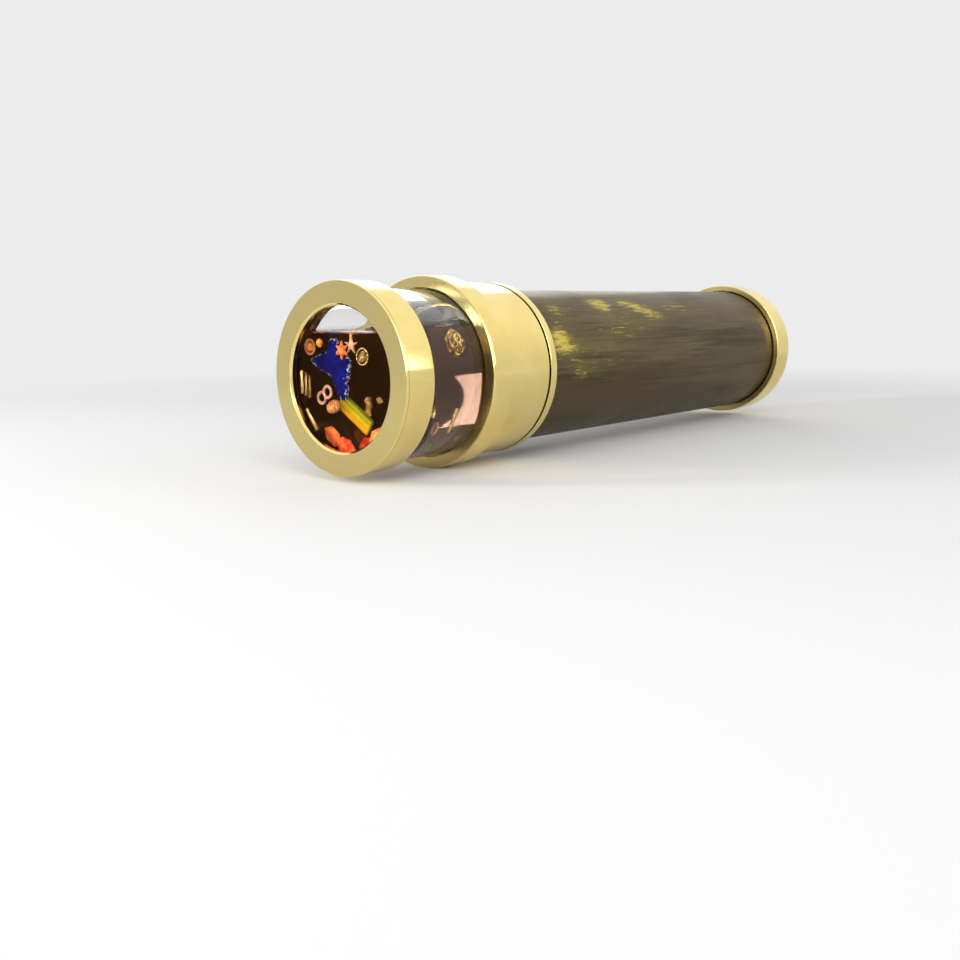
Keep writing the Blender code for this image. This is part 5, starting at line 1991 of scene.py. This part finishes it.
    def shell(self) -> None:
        """Build the shell bead: a tapering form whose ribs wind round it.

        The radius at the share t of the length is the profile's times 0.9 + 0.1 cos(7 x 2 pi t + a).
        """
        shell = self.drawn(SHELL_SHARES, 110, *self.shell_size)
        angle = np.arctan2(shell.points[:, 1], -shell.points[:, 2])
        winding = self.shell_ribs * 2.0 * math.pi * shell.points[:, 0] / self.shell_size[0] + angle
        ribs = 1.0 - self.rib_depth + self.rib_depth * np.cos(winding)
        shell.points[:, 1:] *= ribs[:, None]
        # Painted shade: groove_shade darkens the shell's colour down between the ribs
        shell.values["groove_shade"] = (1.0 - ribs) * self.rib_groove_shade
        self.charm(shell.moved(turn_about("Z")), "ribbed_shell", "spiral_shell", Slot.BLUSH, SHELL,
                   roll=-20.0)

    def rod(self) -> None:
        """Build the rod of three fused canes that lies along Y.

        Its section is the outline of three circles side by side. Each point has the value across, its
        share of the way over the rod, which the stripes follow.
        """
        flute = self.rod_flute
        pitch = math.sqrt(3.0) * flute
        turn = np.linspace(math.radians(30), math.radians(150), 13)[:-1]
        side = np.concatenate([[flute * np.sin(turn), centre + flute * np.cos(turn)]
                               for centre in (pitch, 0.0, -pitch)], axis=1).T
        top = np.linspace(0.0, math.radians(30), 4, endpoint=False)
        cap = np.stack([flute * np.sin(top), pitch + flute * np.cos(top)], axis=-1)
        half_outline = np.vstack([cap, side, (cap * np.array([1.0, -1.0]))[::-1]])
        mirrored = (half_outline * np.array([-1.0, 1.0]))[::-1][1:-1]
        loop = np.vstack([half_outline, mirrored])
        rod = swollen(loop, np.zeros(2), self.rod_length / 2, self.rod_squareness, rings=44)
        lying = rod.moved(turn_about("Z"))
        reach = pitch + flute
        lying.values["across"] = (lying.points[:, 2] + reach) / (2.0 * reach)
        self.charm(lying, "striped_rod", "fluted_rod", Slot.STRIPED, STRIPED, roll=32.0)

    def nuggets(self) -> None:
        """Build the row of fused nuggets.

        At the height t the radius is (r1^9 + r2^9 + r3^9)^(1/9) of the three balls' radii there, and
        the middle swings from side to side as the balls do.
        """
        radius, pitch, fuse = self.nugget_radius, self.nugget_pitch, self.nugget_fuse
        height = -(pitch + radius) * np.cos(np.linspace(0.0, math.pi, 60)[1:-1])
        gaps = height[:, None] - np.array([-pitch, 0.0, pitch])
        balls = np.sqrt(np.maximum(radius ** 2 - gaps ** 2, 1e-12))
        out = (balls ** fuse).sum(axis=1) ** (1.0 / fuse)
        row = turned(np.stack([height, out], axis=-1), (-pitch - radius, pitch + radius), CHARM_SIDES)
        row.points[:, 1] -= self.nugget_swing * radius * np.cos(row.points[:, 0] * math.pi / pitch)
        lump = row.rumpled(0.0007, 0.00011, 0.9)
        self.gold(lump.moved(turn_about("Y")), "fused_nuggets", "gold_nuggets")


@dataclass
class RearCharms(Charms):
    """The charms deeper in the cell."""

    body: Body = Body.REAR
    lace: Range = (0.00355, 0.00026)
    lace_loops: int = 24

    def build(self) -> None:
        """Build every rear charm."""
        self.gold(self.openwork(*self.lace, self.lace_loops), "openwork_gold_ball", "openwork_ball")
        self.bugle("rear_gold_bugle", "rear_gold_bar", self.long_bugle, roll=24.0)
        self.facet_charm("leaf_green_chip", "green_chip", CHIP, Slot.GREEN, LEAF)
        self.facet_charm("amber_glass_chip", "amber_chip", CHIP, Slot.AMBER, AMBER, 24.0)
        self.facet_charm("fire_shard_5", "red_shard_5", SHARD, Slot.RED, RUBY, -4.0)
        self.flake("gold_leaf_2", "gold_flake_2", 30.0)
        self.flake("gold_leaf_3", "gold_flake_3", -40.0)


# The studio


@dataclass
class Lamp:
    """A soft lamp: its place, width, height and power, its lean, and whether metal mirrors it."""

    name: str
    place: tuple[float, float, float]
    width: float
    height: float
    watts: float
    mirrored: bool = True
    lean_degrees: float = 0.0


@dataclass
class Studio:
    """A pale floor that runs into a pale surround, soft lamps and the photograph's camera."""

    floor_radius: float = 6.0
    floor_sides: int = 128
    floor_near: float = 0.16
    floor_far: float = 0.40
    floor_colour: Colour = (0.77, 0.77, 0.77)
    surround: Colour = (0.84, 0.84, 0.84)
    overhead: float = 1.35
    overhead_range: Range = (0.05, 0.6)
    fill_strength: float = 0.70
    lamps: tuple[Lamp, ...] = (
        Lamp("key_lamp", (-0.45, -0.60, 0.60), 0.50, 0.50, 2.2),
        Lamp("side_lamp", (0.40, -0.75, 0.35), 0.45, 0.45, 1.4),
        Lamp("back_lamp", (0.75, 0.70, 0.45), 0.60, 0.60, 1.5),
        Lamp("front_lamp", (-0.62, -0.16, 0.16), 0.30, 0.20, 2.0),
        Lamp("cell_lamp", (-0.516, 0.350, 0.12), 0.082, 0.24, 3.0, mirrored=False, lean_degrees=9.5),
    )
    aim: tuple[float, float, float] = (0.0, 0.0, 0.02)
    camera_place: tuple[float, float, float] = (-0.24031, -0.17009, 0.03890)
    camera_forward: tuple[float, float, float] = (0.73715, 0.66459, -0.12220)
    camera_up: tuple[float, float, float] = (0.09903, 0.07264, 0.99243)
    camera_lens_mm: float = 37.62
    sensor_mm: float = 36.0
    camera_shift: tuple[float, float] = (0.0185, -0.0510)
    camera_near: float = 0.005

    def build(self) -> None:
        """Set up the camera, the floor, the surround and the lamps."""
        self.camera()
        self.floor()
        self.world()
        for lamp in self.lamps:
            self.lamp(lamp)
        bpy.context.scene.view_settings.view_transform = "Standard"

    def camera(self) -> None:
        """Make the camera at the photograph's viewing angle."""
        data = bpy.data.cameras.new("photograph_camera")
        data.lens = self.camera_lens_mm
        data.sensor_width = self.sensor_mm
        data.clip_start = self.camera_near
        data.shift_x, data.shift_y = self.camera_shift
        forward = Vector(self.camera_forward).normalized()
        right = forward.cross(Vector(self.camera_up)).normalized()
        turn = Matrix((right, right.cross(forward), -forward)).transposed().to_4x4()
        camera = linked("photograph_camera", data)
        camera.matrix_world = Matrix.Translation(self.camera_place) @ turn
        bpy.context.scene.camera = camera

    def floor(self) -> None:
        """Make the round floor, which takes shadows near the object and fades into the surround."""
        angle = round_angles(self.floor_sides)
        rim = self.floor_radius * np.stack([np.cos(angle), np.sin(angle), 0.0 * angle], axis=-1)
        mesh = bpy.data.meshes.new("studio_floor")
        mesh.from_pydata(rim.tolist(), [], [list(range(self.floor_sides))])
        mesh.materials.append(self.floor_material())
        linked("studio_floor", mesh)

    def floor_material(self) -> bpy.types.Material:
        """Make the floor's material: matt and pale, with the surround's light far away.

        Returns:
            The material.
        """
        material = bpy.data.materials.new("pale_floor")
        graph = emptied(material)
        away = graph.add("VectorMath", {0: graph.own()}, operation="LENGTH").outputs["Value"]
        far = graph.spread(away, self.floor_near, self.floor_far)
        seen = self.seen_rays(graph)
        matt = graph.add("BsdfDiffuse", {"Color": paint(self.floor_colour)}).outputs[0]
        glow = graph.add("Emission", {"Color": paint(self.surround)}).outputs[0]
        factor = graph.math("MULTIPLY", far, seen)
        mixed = graph.add("MixShader", {0: factor, 1: matt, 2: glow}).outputs[0]
        graph.add("OutputMaterial", {"Surface": mixed})
        return material

    def seen_rays(self, graph: Graph) -> Socket:
        """Mark the rays from the camera, from gloss and through glass.

        Args:
            graph: The nodes of the floor or of the world.

        Returns:
            1 for those rays and 0 for the others.
        """
        path = graph.add("LightPath").outputs
        seen = graph.math("MAXIMUM", path["Is Camera Ray"], path["Is Glossy Ray"])
        return graph.math("MAXIMUM", seen, path["Is Transmission Ray"])

    def world(self) -> None:
        """Make the surround: pale where it is seen, and a plain soft fill for the rest."""
        world = bpy.data.worlds.new("pale_surround")
        bpy.context.scene.world = world
        graph = emptied(world)
        way = graph.parts(graph.add("TexCoord").outputs["Generated"])[2]
        camera = graph.add("LightPath").outputs["Is Camera Ray"]
        sky = graph.spread(way, *self.overhead_range, 1.0, self.overhead)
        mirrored = graph.mix(camera, sky, EVEN)
        strength = graph.blend(self.seen_rays(graph), self.fill_strength, mirrored)
        light = graph.add("Background", {"Color": paint(self.surround), "Strength": strength}).outputs[0]
        graph.add("OutputWorld", {"Surface": light})

    def lamp(self, lamp: Lamp) -> None:
        """Make one soft lamp that looks at the object and that the camera doesn't see.

        Args:
            lamp: The lamp's place, size and power.
        """
        data = bpy.data.lights.new(lamp.name, "AREA")
        data.shape = "RECTANGLE"
        data.size = lamp.width
        data.size_y = lamp.height
        data.energy = lamp.watts
        light = linked(lamp.name, data)
        way = Vector(self.aim) - Vector(lamp.place)
        look = way.to_track_quat("-Z", "Y").to_matrix().to_4x4()
        lean = turn_about("Z", -lamp.lean_degrees)
        light.matrix_world = Matrix.Translation(lamp.place) @ look @ lean
        light.visible_camera = False
        light.visible_glossy = lamp.mirrored


def main() -> None:
    """Build the studio and every piece."""
    logging.basicConfig(level=logging.INFO, format="%(name)s: %(message)s")
    parts = (Studio(), ObjectCell(), OilAndAir(), TubeSide(), MirrorTunnel(), FrontCharms(),
             RearCharms())
    for part in parts:
        log.info("building %s", type(part).__name__)
        part.build()


if __name__ == "__main__":
    main()
